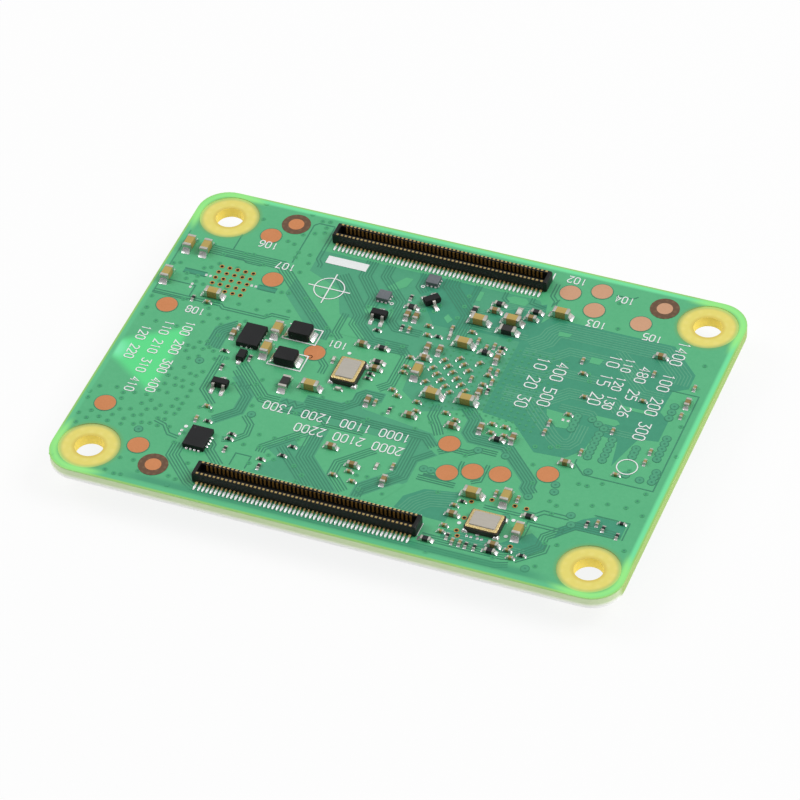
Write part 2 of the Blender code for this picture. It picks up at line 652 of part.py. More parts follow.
def build_transistor(assembly, name, spot, turn):
    """A moulded body with two leads on one side and one on the other, bent down to the board."""
    shape = standing_box((TRANSISTOR_LENGTH, TRANSISTOR_WIDTH, TRANSISTOR_HEIGHT))
    for vertex in shape.verts:
        if vertex.co.z > TRANSISTOR_HEIGHT / 2:
            vertex.co.x *= 1 - 2 * TRANSISTOR_DRAFT / TRANSISTOR_LENGTH
            vertex.co.y *= 1 - 2 * TRANSISTOR_DRAFT / TRANSISTOR_WIDTH
    part = assembly.add(name, shape, "epoxy")
    root = TRANSISTOR_WIDTH / 2 - 2 * TRANSISTOR_DRAFT - LEAD_THICKNESS
    toe = TRANSISTOR_WIDTH / 2 + LEAD_REACH
    heel = toe - LEAD_FOOT
    high = LEAD_EXIT_HEIGHT + LEAD_THICKNESS
    outline = (
        (root, LEAD_EXIT_HEIGHT), (heel - LEAD_THICKNESS, LEAD_EXIT_HEIGHT), (heel, 0.0), (toe, 0.0),
        (toe, LEAD_THICKNESS), (heel + LEAD_THICKNESS / 2, LEAD_THICKNESS), (heel, high), (root, high),
    )
    leads = bmesh.new()
    for x in (-LEAD_PAIR_PITCH / 2, LEAD_PAIR_PITCH / 2):
        place = Matrix.Translation((x, 0, 0)) @ Matrix.Rotation(math.pi, 4, "Z")
        add_profile(leads, outline, LEAD_WIDTH, place)
    add_profile(leads, outline, LEAD_WIDTH, Matrix.Identity(4))
    assembly.combine(part, name + "_leads", leads, "UNION")
    stand(part, spot, turn)


def build_diode(assembly):
    """A small moulded diode with a flat tab under each end."""
    shape = standing_box((DIODE_BODY_LENGTH, DIODE_WIDTH, DIODE_HEIGHT))
    part = assembly.add("clamp_diode", shape, "epoxy")
    tabs = bmesh.new()
    add_box(tabs, (DIODE_LENGTH, DIODE_TAB_WIDTH, DIODE_TAB_HEIGHT), (0, 0, DIODE_TAB_HEIGHT / 2))
    assembly.combine(part, "clamp_diode_tabs", tabs, "UNION")
    stand(part, DIODE_SPOT, 90.0)


def build_small_chips(assembly):
    """The load switches, the regulator, the interface chip, the transistors and the diode."""
    for number, spot in enumerate(SWITCH_SPOTS, 1):
        shape = standing_box((SWITCH_SIDE, SWITCH_SIDE, SWITCH_HEIGHT))
        stand(assembly.add(f"load_switch_{number}", shape, "epoxy"), spot)
    regulator = standing_box((REGULATOR_LENGTH, REGULATOR_WIDTH, REGULATOR_HEIGHT))
    stand(assembly.add("buck_regulator", regulator, "epoxy"), REGULATOR_SPOT)
    interface = standing_box((INTERFACE_LENGTH, INTERFACE_WIDTH, INTERFACE_HEIGHT))
    stand(assembly.add("interface_chip", interface, "epoxy"), INTERFACE_SPOT)
    for number, (x, y, turn) in enumerate(TRANSISTOR_SPOTS, 1):
        build_transistor(assembly, f"transistor_{number}", (x, y), turn)
    build_diode(assembly)


def build_processor(assembly):
    """The processor's substrate on its solder balls and the metal lid, whose crown is the lowest face."""
    substrate = standing_box((PROCESSOR_SIDE, PROCESSOR_SIDE, PROCESSOR_SUBSTRATE))
    gap = SOLDER_GAP + PROCESSOR_BALL_GAP
    stand(assembly.add("processor_substrate", substrate, "laminate"), PROCESSOR_SPOT, 0.0, LOWER, gap)
    lid = standing_box((LID_SIDE, LID_SIDE, LID_FLANGE))
    bevel_rim(lid, LID_FLANGE, LID_CHAMFER)
    part = assembly.add("processor_lid", lid, "plated_lid")
    crown = bmesh.new()
    overlap = LID_FLANGE / 2
    add_box(
        crown,
        (LID_CROWN_SIDE, LID_CROWN_SIDE, LID_CROWN + overlap),
        (0, 0, LID_FLANGE + (LID_CROWN - overlap) / 2),
    )
    round_corners(crown, LID_CHAMFER * 3, 3)
    bevel_rim(crown, LID_FLANGE + LID_CROWN, LID_CHAMFER)
    assembly.combine(part, "processor_lid_crown", crown, "UNION")
    stand(part, PROCESSOR_SPOT, 0.0, LOWER, gap + PROCESSOR_SUBSTRATE + SOLDER_GAP)


def build_lower_chips(assembly):
    """The memory, flash, network and supply chips on the lower face."""
    flat = FLAT_CHIP_HEIGHT
    chips = (
        ("memory_chip", MEMORY_SPOT, (MEMORY_LENGTH, MEMORY_WIDTH, MEMORY_HEIGHT), BALL_GAP),
        ("flash_chip", FLASH_SPOT, (FLASH_LENGTH, FLASH_WIDTH, FLASH_HEIGHT), BALL_GAP),
        ("network_chip", NETWORK_SPOT, (NETWORK_SIDE, NETWORK_SIDE, flat), SOLDER_GAP),
        ("power_controller", CONTROLLER_SPOT, (CONTROLLER_SIDE, CONTROLLER_SIDE, flat), SOLDER_GAP),
    )
    for name, spot, size, gap in chips:
        shape = standing_box(size)
        bevel_rim(shape, size[2], CHIP_EDGE / 2)
        stand(assembly.add(name, shape, "epoxy"), spot, 0.0, LOWER, gap)


def build_wireless(assembly):
    """The wireless chip and the drawn metal can over it, open towards the board."""
    chip = standing_box((WIRELESS_LENGTH, WIRELESS_WIDTH, WIRELESS_HEIGHT))
    stand(assembly.add("wireless_chip", chip, "epoxy"), CAN_SPOT, 0.0, LOWER)
    shape = standing_box((CAN_LENGTH, CAN_WIDTH, CAN_HEIGHT))
    round_corners(shape, CAN_CORNER_RADIUS, 3)
    mouth = [face for face in shape.faces if face.normal.z < -0.5]
    bmesh.ops.delete(shape, geom=mouth, context="FACES")
    can = assembly.add("wireless_can", shape, "plated_lid")
    wall = can.modifiers.new("sheet", "SOLIDIFY")
    wall.thickness = CAN_WALL
    wall.offset = -1.0
    wall.use_even_offset = True
    stand(can, CAN_SPOT, 0.0, LOWER)


def build_receptacle(assembly):
    """The coaxial antenna receptacle: its base, the turned shell and the centre pin."""
    base = standing_box((RECEPTACLE_SIDE, RECEPTACLE_SIDE, RECEPTACLE_BASE_HEIGHT))
    round_corners(base, RECEPTACLE_SIDE / 8, 1)
    stand(assembly.add("antenna_receptacle_base", base, "black_polymer"), RECEPTACLE_SPOT, 0.0, LOWER)

    outer = RECEPTACLE_SHELL_RADIUS
    inner = outer - RECEPTACLE_SHELL_WALL
    lip = RECEPTACLE_SHELL_WALL / 3
    top = RECEPTACLE_SHELL_HEIGHT
    profile = (
        (outer - lip, top), (outer, top * 0.85), (outer - lip, top * 0.6), (outer, top * 0.35),
        (outer, 0.0), (inner, 0.0), (inner, top),
    )
    shape = bmesh.new()
    verts = [shape.verts.new((x, 0.0, z)) for x, z in profile]
    for first, second in zip(verts, verts[1:] + verts[:1]):
        shape.edges.new((first, second))
    shell = assembly.add("antenna_receptacle_shell", shape, "gold")
    turned = shell.modifiers.new("turned", "SCREW")
    turned.steps = RECEPTACLE_STEPS
    turned.render_steps = RECEPTACLE_STEPS
    turned.use_merge_vertices = True
    turned.merge_threshold = 1e-6
    gap = SOLDER_GAP + RECEPTACLE_BASE_HEIGHT + SOLDER_GAP
    stand(shell, RECEPTACLE_SPOT, 0.0, LOWER, gap)

    pin = bmesh.new()
    add_cylinder(pin, RECEPTACLE_PIN_RADIUS, 0.0, RECEPTACLE_PIN_HEIGHT, steps=12)
    stand(assembly.add("antenna_receptacle_pin", pin, "gold"), RECEPTACLE_SPOT, 0.0, LOWER, gap)


def main():
    """Builds the whole module."""
    clear_scene()
    assembly = Assembly()
    build_board(assembly)
    for name, centre in zip(("header_rear", "header_front"), header_spots()):
        build_header(assembly, name, centre)
    build_capacitors(assembly)
    build_inductors(assembly)
    build_crystal(assembly, "main_crystal", MAIN_CRYSTAL_SPOT, 90.0)
    build_crystal(assembly, "network_crystal", NETWORK_CRYSTAL_SPOT, 0.0)
    build_small_chips(assembly)
    build_processor(assembly)
    build_lower_chips(assembly)
    build_wireless(assembly)
    build_receptacle(assembly)


main()
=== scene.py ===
"""System on module, dressed and lit for the camera.

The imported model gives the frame. Each class here holds the sizes of one kind of component, builds
its surfaces as whole numpy arrays and gives them their finishes. Sizes are in millimetres in the
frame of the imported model: +X along the board, +Y across it, +Z up through the two headers.
"""

import logging
import math
from dataclasses import dataclass, field, replace
from enum import Enum
from typing import Any, Sequence

import bmesh
import bpy
import numpy as np
from mathutils import Matrix, Vector
from numpy.typing import NDArray


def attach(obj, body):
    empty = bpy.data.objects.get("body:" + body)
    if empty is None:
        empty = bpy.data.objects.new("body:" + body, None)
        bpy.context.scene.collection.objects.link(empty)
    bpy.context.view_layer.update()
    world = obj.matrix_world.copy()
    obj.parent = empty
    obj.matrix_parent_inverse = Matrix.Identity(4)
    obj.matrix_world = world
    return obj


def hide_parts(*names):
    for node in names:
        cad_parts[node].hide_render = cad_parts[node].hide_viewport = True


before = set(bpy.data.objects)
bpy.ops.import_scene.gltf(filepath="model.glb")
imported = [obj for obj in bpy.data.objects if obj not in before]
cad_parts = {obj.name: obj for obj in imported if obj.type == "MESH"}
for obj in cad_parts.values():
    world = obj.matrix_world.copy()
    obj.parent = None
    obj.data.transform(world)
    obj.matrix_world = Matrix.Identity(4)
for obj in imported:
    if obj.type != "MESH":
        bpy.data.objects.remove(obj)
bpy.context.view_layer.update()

Array = NDArray[np.float64]
Spot = tuple[float, float]
Triple = tuple[float, float, float]
Path = tuple[float, ...]
Runs = tuple[tuple[Path, int, float], ...]
MM = 0.001
BOARD_TOP = 3.62
BOARD_BOTTOM = 2.42
SOLDER_GAP = 0.04
HALF = (27.5, 20.0)
CORNER = 3.0
HOLE = (24.0, 16.5)
HOLES = np.array([(x, y) for x in (-HOLE[0], HOLE[0]) for y in (-HOLE[1], HOLE[1])])
SHARP_ANGLE = math.radians(32)
TO_RIGHT = (1.0, 0.0, 0.0)
TO_FRONT = (0.0, -1.0, 0.0)
log = logging.getLogger("system_on_module")


class Side(Enum):
    """The face of the board that a component is soldered to."""

    UPPER = 1
    LOWER = -1


class Pattern(Enum):
    """How a finish breaks up its colour and its surface."""

    GRAIN = "cells of noise"
    BRUSHED = "noise drawn out along one axis"
    WEAVE = "crossed threads"


class Measure(Enum):
    """What a change of colour over a surface depends on."""

    HEIGHT = "height over the frame's origin"
    EDGE = "distance out past the board's outline"
    HOLE = "distance from the nearest screw hole's axis"
    SPOT = "distance from one place"
    ALONG = "distance along one direction"


def linear(colour: str) -> tuple[float, float, float, float]:
    """Turns an sRGB hex colour into linear light.

    Args:
        colour: The colour as six hex digits.

    Returns:
        Linear red, green, blue and an alpha of one.
    """
    parts = np.array([int(colour[i : i + 2], 16) for i in (0, 2, 4)]) / 255.0
    light = np.where(parts <= 0.04045, parts / 12.92, ((parts + 0.055) / 1.055) ** 2.4)
    return (float(light[0]), float(light[1]), float(light[2]), 1.0)


def add_node(
    tree: bpy.types.NodeTree, kind: str, inputs: dict[Any, Any] | None = None, **settings: Any
) -> bpy.types.Node:
    """Adds one node with its settings and links.

    Args:
        tree: The node tree that gets the node.
        kind: The node's type name after ShaderNode.
        inputs: Socket name or index to the value it holds or the socket it is linked from.
        settings: Properties of the node itself.

    Returns:
        The new node.
    """
    node = tree.nodes.new("ShaderNode" + kind)
    for key, value in settings.items():
        setattr(node, key, value)
    for key, value in (inputs or {}).items():
        if isinstance(value, bpy.types.NodeSocket):
            tree.links.new(value, node.inputs[key])
        else:
            node.inputs[key].default_value = value
    return node


@dataclass(frozen=True)
class Limit:
    """A soft step from zero to one between two values of a measure taken at each point.

    Attributes:
        measure: What is measured.
        start: The value, in millimetres, where the step is zero.
        end: The value where it is one.
        middle: The place that a spot is measured from, or the direction that is measured along.
    """

    measure: Measure
    start: float
    end: float
    middle: Triple = (0.0, 0.0, 0.0)

    def value(self, tree: bpy.types.NodeTree, place: Any) -> Any:
        """Measures a point in the object's own coordinates.

        The distance to the board's outline is the length of the part of the point that lies outside
        the rectangle of the corners' centres, plus the larger inner component where both are inside,
        less the corner radius.

        Args:
            tree: The material's node tree.
            place: The object coordinates.

        Returns:
            The socket that holds the measure, in metres.
        """
        if self.measure is Measure.HEIGHT:
            return add_node(tree, "SeparateXYZ", {0: place}).outputs[2]
        if self.measure is Measure.ALONG:
            factors = {0: place, 1: self.middle}
            return add_node(tree, "VectorMath", factors, operation="DOT_PRODUCT").outputs[1]
        if self.measure is Measure.SPOT:
            spot = tuple(value * MM for value in self.middle)
            return add_node(tree, "VectorMath", {0: place, 1: spot}, operation="DISTANCE").outputs[1]
        flat = add_node(tree, "VectorMath", {0: place, 1: (1, 1, 0)}, operation="MULTIPLY")
        far = add_node(tree, "VectorMath", {0: flat.outputs[0]}, operation="ABSOLUTE")
        if self.measure is Measure.HOLE:
            hole = (HOLE[0] * MM, HOLE[1] * MM, 0.0)
            return add_node(tree, "VectorMath", {0: far.outputs[0], 1: hole}, operation="DISTANCE").outputs[1]
        inner = ((HALF[0] - CORNER) * MM, (HALF[1] - CORNER) * MM, 0.0)
        past = add_node(tree, "VectorMath", {0: far.outputs[0], 1: inner}, operation="SUBTRACT")
        out = add_node(tree, "VectorMath", {0: past.outputs[0], 1: (0, 0, 0)}, operation="MAXIMUM")
        reach = add_node(tree, "VectorMath", {0: out.outputs[0]}, operation="LENGTH")
        axes = add_node(tree, "SeparateXYZ", {0: past.outputs[0]})
        larger = add_node(tree, "Math", {0: axes.outputs[0], 1: axes.outputs[1]}, operation="MAXIMUM")
        within = add_node(tree, "Math", {0: larger.outputs[0], 1: 0.0}, operation="MINIMUM")
        total = add_node(tree, "Math", {0: reach.outputs[1], 1: within.outputs[0]}, operation="ADD")
        return add_node(tree, "Math", {0: total.outputs[0], 1: CORNER * MM}, operation="SUBTRACT").outputs[0]

    def share(self, tree: bpy.types.NodeTree, place: Any) -> Any:
        """Adds the soft step and gives its socket."""
        low, high = sorted((self.start, self.end))
        rising = self.end > self.start
        step = add_node(
            tree, "MapRange",
            {
                "Value": self.value(tree, place), "From Min": low * MM, "From Max": high * MM,
                "To Min": 0.0 if rising else 1.0, "To Max": 1.0 if rising else 0.0,
            },
            interpolation_type="SMOOTHSTEP",
        )
        return step.outputs[0]


@dataclass(frozen=True)
class Tint:
    """A colour that takes over where all its limits are passed.

    Attributes:
        colour: The colour, sRGB hex.
        limits: The limits, whose steps are multiplied.
    """

    colour: str
    limits: tuple[Limit, ...]

    def over(self, tree: bpy.types.NodeTree, place: Any, below: Any) -> Any:
        """Lays the tint over the colour below it.

        Args:
            tree: The material's node tree.
            place: The object coordinates.
            below: The socket that holds the colour below.

        Returns:
            The socket that holds the tinted colour.
        """
        share = self.limits[0].share(tree, place)
        for limit in self.limits[1:]:
            factors = {0: share, 1: limit.share(tree, place)}
            share = add_node(tree, "Math", factors, operation="MULTIPLY").outputs[0]
        ends = {0: share, 6: below, 7: linear(self.colour)}
        return add_node(tree, "Mix", ends, data_type="RGBA").outputs[2]


@dataclass(frozen=True)
class Finish:
    """One surface finish: its colours, gloss and the real size of its pattern.

    Attributes:
        name: The real material and how it was made.
        colour: The main colour, sRGB hex.
        second: The colour that the pattern mixes in, sRGB hex.
        grain: Size of the pattern's cells, in millimetres.
        roughness: Mean roughness of the surface.
        uneven: How far the pattern moves the roughness up and down.
        metallic: One for a bare metal.
        coat: Strength of a clear layer on top.
        gloss: Specular level of the bare surface, where a half is the usual plastic.
        bump: Height of the relief, in millimetres.
        glow: Strength of a painted glow, an emission of the surface's own colour that stands in for light led
            through the material from elsewhere.
        drift: Share of slow colour drift.
        drift_size: Size of the drift's clouds, in millimetres.
        pattern: The kind of pattern.
        tints: Colours that take over in some places.
    """

    name: str
    colour: str
    second: str
    grain: float = 0.1
    roughness: float = 0.45
    uneven: float = 0.08
    metallic: float = 0.0
    coat: float = 0.0
    gloss: float = 0.5
    bump: float = 0.0
    glow: float = 0.0
    drift: float = 0.35
    drift_size: float = 2.2
    pattern: Pattern = Pattern.GRAIN
    tints: tuple[Tint, ...] = ()

    def fine_pattern(self, tree: bpy.types.NodeTree, place: Any) -> Any:
        """Adds the pattern itself, in the object's own coordinates.

        Args:
            tree: The material's node tree.
            place: The object coordinates.

        Returns:
            The socket that holds the pattern, from zero to one.
        """
        scale = 1.0 / (self.grain * MM)
        if self.pattern is Pattern.WEAVE:
            wave = {"Vector": place, "Scale": scale / 6.3, "Distortion": 1.5}
            along = add_node(tree, "TexWave", wave, bands_direction="X").outputs[1]
            across = add_node(tree, "TexWave", wave, bands_direction="Y").outputs[1]
            return add_node(tree, "Math", {0: along, 1: across}, operation="MULTIPLY").outputs[0]
        if self.pattern is Pattern.BRUSHED:
            place = add_node(tree, "Mapping", {"Vector": place, "Scale": (0.06, 1.0, 1.0)}).outputs[0]
        noise = {"Vector": place, "Scale": scale, "Detail": 4.0, "Roughness": 0.6}
        return add_node(tree, "TexNoise", noise).outputs[0]

    def base_colour(self, tree: bpy.types.NodeTree, place: Any, grain: Any) -> Any:
        """Mixes the two colours by the fine pattern and a slow drift, and lays the tints over them.

        Args:
            tree: The material's node tree.
            place: The object coordinates.
            grain: The fine pattern's value socket.

        Returns:
            The socket that holds the mixed colour.
        """
        clouds = {"Vector": place, "Scale": 1.0 / (self.drift_size * MM), "Detail": 2.0}
        slow = add_node(tree, "TexNoise", clouds)
        share = add_node(tree, "Mix", {0: self.drift, 2: grain, 3: slow.outputs[0]}, data_type="FLOAT")
        spread = add_node(tree, "MapRange", {"Value": share.outputs[0], "From Min": 0.3, "From Max": 0.7})
        ends = {0: spread.outputs[0], 6: linear(self.colour), 7: linear(self.second)}
        mixed = add_node(tree, "Mix", ends, data_type="RGBA").outputs[2]
        for tint in self.tints:
            mixed = tint.over(tree, place, mixed)
        return mixed

    def material(self) -> bpy.types.Material:
        """Makes the material once and gives the same one to every later caller."""
        ready = bpy.data.materials.get(self.name)
        if ready is not None:
            return ready
        made = bpy.data.materials.new(self.name)
        made.use_nodes = True
        tree = made.node_tree
        shader = tree.nodes["Principled BSDF"]
        place = add_node(tree, "TexCoord").outputs["Object"]
        grain = self.fine_pattern(tree, place)
        colour = self.base_colour(tree, place, grain)
        tree.links.new(colour, shader.inputs["Base Color"])
        # Painted light: the surface emits its own colour, though it is no lamp
        if self.glow:
            tree.links.new(colour, shader.inputs["Emission Color"])
            shader.inputs["Emission Strength"].default_value = self.glow
        rough = add_node(
            tree, "MapRange",
            {"Value": grain, "To Min": self.roughness - self.uneven, "To Max": self.roughness + self.uneven},
        )
        tree.links.new(rough.outputs[0], shader.inputs["Roughness"])
        shader.inputs["Metallic"].default_value = self.metallic
        shader.inputs["Coat Weight"].default_value = self.coat
        shader.inputs["Specular IOR Level"].default_value = self.gloss
        shader.inputs["Coat Roughness"].default_value = 0.12
        if self.bump:
            relief = add_node(tree, "Bump", {"Height": grain, "Distance": self.bump * MM, "Strength": 1.0})
            tree.links.new(relief.outputs[0], shader.inputs["Normal"])
        return made


# Past the board's diagonal, towards its right rear corner, where the edge band gets a painted highlight
RIGHT_REAR_LIT = Limit(Measure.ALONG, -0.25, 0.25, (1 / HALF[0], 1 / HALF[1], 0.0))
# Bare laminate between the front header's copper and the board's edge
FRONT_STRIP = (
    Limit(Measure.ALONG, 18.0, 18.8, TO_FRONT), Limit(Measure.ALONG, -21.0, -17.0, TO_RIGHT),
    Limit(Measure.ALONG, 22.0, 18.0, TO_RIGHT),
)
# Light leaves the clear laminate along the edge and round the bare rings
EDGE_TINTS = (
    Tint("3f9c72", (*FRONT_STRIP, Limit(Measure.EDGE, -0.7, -0.95))),
    Tint("5abf87", (Limit(Measure.EDGE, -0.8, -0.45),)),
    # Brighter towards the right rear corner: painted light from the lamps on that side
    Tint("70e49e", (Limit(Measure.EDGE, -0.8, -0.4), RIGHT_REAR_LIT)),
    Tint("96cc66", (Limit(Measure.EDGE, -0.3, -0.05),)),
    Tint("64ac6c", (Limit(Measure.HOLE, 3.3, 2.85),)),
    Tint("98f084", (Limit(Measure.HOLE, 4.3, 3.0), Limit(Measure.EDGE, -1.1, -0.4))),
)
# Where no copper lies under the mask beside the antenna, light comes up through the laminate
NICHE = (
    Limit(Measure.ALONG, -21.0, -22.0, TO_RIGHT), Limit(Measure.ALONG, 13.5, 12.4, (-0.56, 0.83, 0.0)),
    Limit(Measure.ALONG, 19.6, 18.4, (-0.56, -0.83, 0.0)),
)
NICHE_GLEAM = Limit(Measure.SPOT, 2.2, 0.4, (-27.2, -3.9, BOARD_TOP))
NICHE_TINTS = (Tint("58de88", NICHE), Tint("7ceeb0", (*NICHE, NICHE_GLEAM)))
# Liquid photo-imaged mask over copper: even, slightly glossy green with a faint orange peel
MASK = Finish(
    "solder_mask_over_copper", "4fb07a", "57b680", 0.35, 0.36, 0.05, coat=0.15, bump=0.002,
    tints=(*NICHE_TINTS, *EDGE_TINTS),
)
# The same mask over bare glass laminate: darker and bluer, because the weave swallows light
MASK_ON_LAMINATE = replace(MASK, name="solder_mask_over_laminate", colour="34906f", second="3b9976")
# The same mask over a bundle of tracks, half copper and half laminate
MASK_OVER_BUNDLES = replace(MASK, name="solder_mask_over_bundles", colour="439d75", second="4aa37b")
# Where the mask sinks a little over a filled via: a faint dark spot
MASK_HOLLOW = replace(MASK, name="solder_mask_over_vias", colour="3fa26c", second="45a870")
# Gaps between copper areas, where the mask dips: thin dark green lines
MASK_GAP = replace(MASK, name="solder_mask_in_gaps", colour="318263", second="388a6a")
# Copper tracks under the mask: lighter lines on the dark fields
MASK_TRACK = replace(MASK, name="solder_mask_over_tracks", colour="4c9d79", second="56a681")
# Routed edge of glass-fibre laminate: green under the mask, then straw, pale and fibrous below, with a slight
# painted glow for light led through the laminate
LAMINATE_EDGE = Finish(
    "routed_glass_laminate", "ccdfae", "d6e6bc", 0.12, 0.7, 0.1, bump=0.006, glow=0.2,
    pattern=Pattern.BRUSHED,
    tints=(
        Tint("98d074", (Limit(Measure.HEIGHT, 3.4, 3.62),)),
        # Paler to pure white towards the bottom: the pale fibre, with a painted highlight of light from the
        # floor
        Tint("f2f8e6", (Limit(Measure.HEIGHT, 3.0, 2.7),)),
        Tint("ffffff", (Limit(Measure.HEIGHT, 2.75, 2.5),)),
        # The right end is painted darker and greener: painted shade against the stronger lamp light on that
        # side
        Tint("a6c46e", (Limit(Measure.ALONG, 27.3, 27.5, TO_RIGHT), Limit(Measure.HEIGHT, 2.4, 2.6))),
    ),
)
# Bare laminate round a screw hole: warm yellow, fading to green where the mask begins
BARE_LAMINATE = Finish(
    "bare_glass_laminate", "e6d96e", "eadd78", 0.45, 0.42, 0.04, bump=0.002, pattern=Pattern.WEAVE, drift=0.6,
    tints=(
        Tint("dcc65a", (Limit(Measure.HOLE, 1.8, 1.4),)), Tint("9cb46a", (Limit(Measure.HOLE, 2.3, 2.95),)),
        # Greener and brighter towards the board's edge: painted light from the laminate's edge, as on the
        # mask beside it
        Tint("bce67c", (Limit(Measure.HOLE, 2.45, 2.95), Limit(Measure.EDGE, -1.6, -0.7))),
    ),
)
# Drilled wall of a screw hole: rougher, and with a painted glow that stands in for light led through the
# laminate
DRILLED_LAMINATE = Finish("drilled_glass_laminate", "eed862", "f4e078", 0.1, 0.7, 0.1, bump=0.01, glow=0.25)
# Organic-coated copper: soft orange metal that looks matt because its etched surface scatters
COPPER = Finish("etched_copper_pad", "cc8350", "d98e5c", 0.12, 0.55, 0.1, metallic=0.25, bump=0.002)
# The same copper where the coating has aged: pinker and paler
COPPER_PALE = replace(COPPER, name="aged_copper_pad", colour="cd9b78", second="d7a684")
# Rim of a plated via that the mask leaves open: thin copper, browned by the bath
COPPER_RIM = replace(COPPER, name="plated_via_rim", colour="c08c44", second="cc9a50")
# Ring of resin round a registration mark: dark brown bare laminate over a copper-free well
RESIN_RING = Finish(
    "bare_resin_ring", "63452c", "705236", 0.3, 0.4, 0.05, coat=0.2, pattern=Pattern.WEAVE, bump=0.002
)
# Screen-printed epoxy ink: opaque, slightly chalky white
INK = Finish("screen_printed_ink", "f0f2f2", "e2e6e4", 0.08, 0.6, 0.08, bump=0.004)
# Reflowed solder: bright metal with the soft dents of its frozen skin
SOLDER = Finish("reflowed_solder", "f2f2f0", "ffffff", 0.16, 0.18, 0.08, metallic=0.75, bump=0.032)
# The same solder drawn thin over a contact's tail, made rougher and less metallic so that it reads matt
# white: a painted reflection of the white floor
SOLDER_PAINTED_SHEEN = replace(SOLDER, name="reflowed_solder_painted_sheen", roughness=0.34, metallic=0.3)
# Matt tin plated over a fired silver end
TIN = Finish("matt_tin_plate", "d4d1c8", "e2dfd6", 0.07, 0.42, 0.1, metallic=1.0, bump=0.006)
# Barium titanate fired to a fine tan ceramic, slightly waxy
CERAMIC_TAN = Finish("fired_titanate_tan", "b0984f", "bba25a", 0.06, 0.42, 0.06, bump=0.002)
# The smallest cases are cut from a greyer batch
CERAMIC_SAND = replace(CERAMIC_TAN, name="fired_titanate_sand", colour="9c8850", second="ab975f")
# A browner batch of the same ceramic, in the middle case size
CERAMIC_BROWN = replace(CERAMIC_TAN, name="fired_titanate_brown", colour="86703e", second="967f4e")
# Class 1 ceramic: chalk white with a grey cast
CERAMIC_WHITE = replace(CERAMIC_TAN, name="fired_zirconate_white", colour="cfcbc2", second="dedad2")
# Resistor glaze: black glass printed over the resistive film
RESISTOR_GLAZE = Finish("black_resistor_glaze", "141517", "1d1e21", 0.06, 0.3, 0.08, bump=0.002)
# Sintered nickel-zinc ferrite: dense dark brown-grey
FERRITE = Finish("sintered_ferrite", "1f1e1d", "2a2827", 0.06, 0.5, 0.08, bump=0.004)
# Pressed iron powder in resin: black with a visible grit of about 0.1 mm
IRON_POWDER = Finish("pressed_iron_powder", "131314", "1c1d1e", 0.1, 0.6, 0.12, gloss=0.3, bump=0.008)
# Transfer-moulded epoxy: matt charcoal with the fine grit of its filler
EPOXY = Finish("moulded_epoxy", "151617", "1c1d1f", 0.07, 0.55, 0.08, gloss=0.3, bump=0.004)
# Bare backside of a wafer-level switch: polished grey with a violet cast
WAFER_COAT = Finish("coated_silicon_back", "62676c", "6e7378", 0.15, 0.35, 0.06, bump=0.001)
# Liquid crystal polymer: moulded black, with faint flow lines along the header
POLYMER = Finish(
    "moulded_black_polymer", "0f100f", "181918", 0.12, 0.42, 0.08, gloss=0.35, bump=0.003,
    pattern=Pattern.BRUSHED,
)
# Gold over nickel on formed copper alloy
GILT = Finish("gilt_contact", "d8b873", "e6cb8c", 0.08, 0.3, 0.08, metallic=1.0, bump=0.002)
# The same contacts deep in the header: browner and barely metallic, painted shade because less light reaches
# the flash of gold there
GILT_DEEP = Finish("gilt_contact_shank", "a27c38", "b68f48", 0.08, 0.5, 0.08, metallic=0.2, bump=0.002)
# Their tails: duller, browner and less metallic than the crests, painted shade for the dark housing wall that
# they reflect
GILT_TAIL = Finish("gilt_contact_tail", "c0a060", "d0b478", 0.08, 0.45, 0.1, metallic=0.5, bump=0.002)
# Nickel-plated iron cover, rolled and washed to a soft satin
NICKEL = Finish(
    "rolled_nickel_cover", "b9b3a8", "c4beb3", 0.05, 0.45, 0.06, metallic=0.35, bump=0.002,
    pattern=Pattern.BRUSHED, drift=0.2,
)
# Gold braze round the cover: bright yellow with a rippled weld
GOLD_SEAL = Finish("gold_braze_seal", "d8b060", "fff0b8", 0.13, 0.3, 0.12, metallic=0.8, bump=0.02, drift=0.1)
# Black alumina base of a crystal
ALUMINA = Finish("fired_black_alumina", "2b2622", "3a342e", 0.08, 0.5, 0.06, bump=0.003)
# Heat spreader lid: coined copper with a satin nickel plate
LID_NICKEL = Finish(
    "satin_nickel_lid", "bfc0bf", "cdcecd", 0.09, 0.34, 0.07, metallic=1.0, bump=0.002,
    pattern=Pattern.BRUSHED,
)
# Drawn tin-plated steel sheet of a screening can
TINPLATE = Finish("drawn_tinplate", "c9cac8", "d7d8d6", 0.2, 0.3, 0.08, metallic=1.0, bump=0.004)
# Package laminate of a processor: dark green mask on a thin core
PACKAGE_LAMINATE = Finish("package_laminate", "2e6b45", "367850", 0.3, 0.4, 0.06, coat=0.2, bump=0.002)
# Cream engineering polymer of the antenna receptacle
CREAM_POLYMER = Finish("moulded_cream_polymer", "ddd6c3", "e7e1d0", 0.15, 0.42, 0.06, bump=0.002)
# Painted shade: an almost black disc where a via or a vent is open, standing for the dark inside the hole
HOLE_SHADE = Finish("painted_hole_shade", "120d08", "1c140c", 0.05, 0.7, 0.05, gloss=0.2)


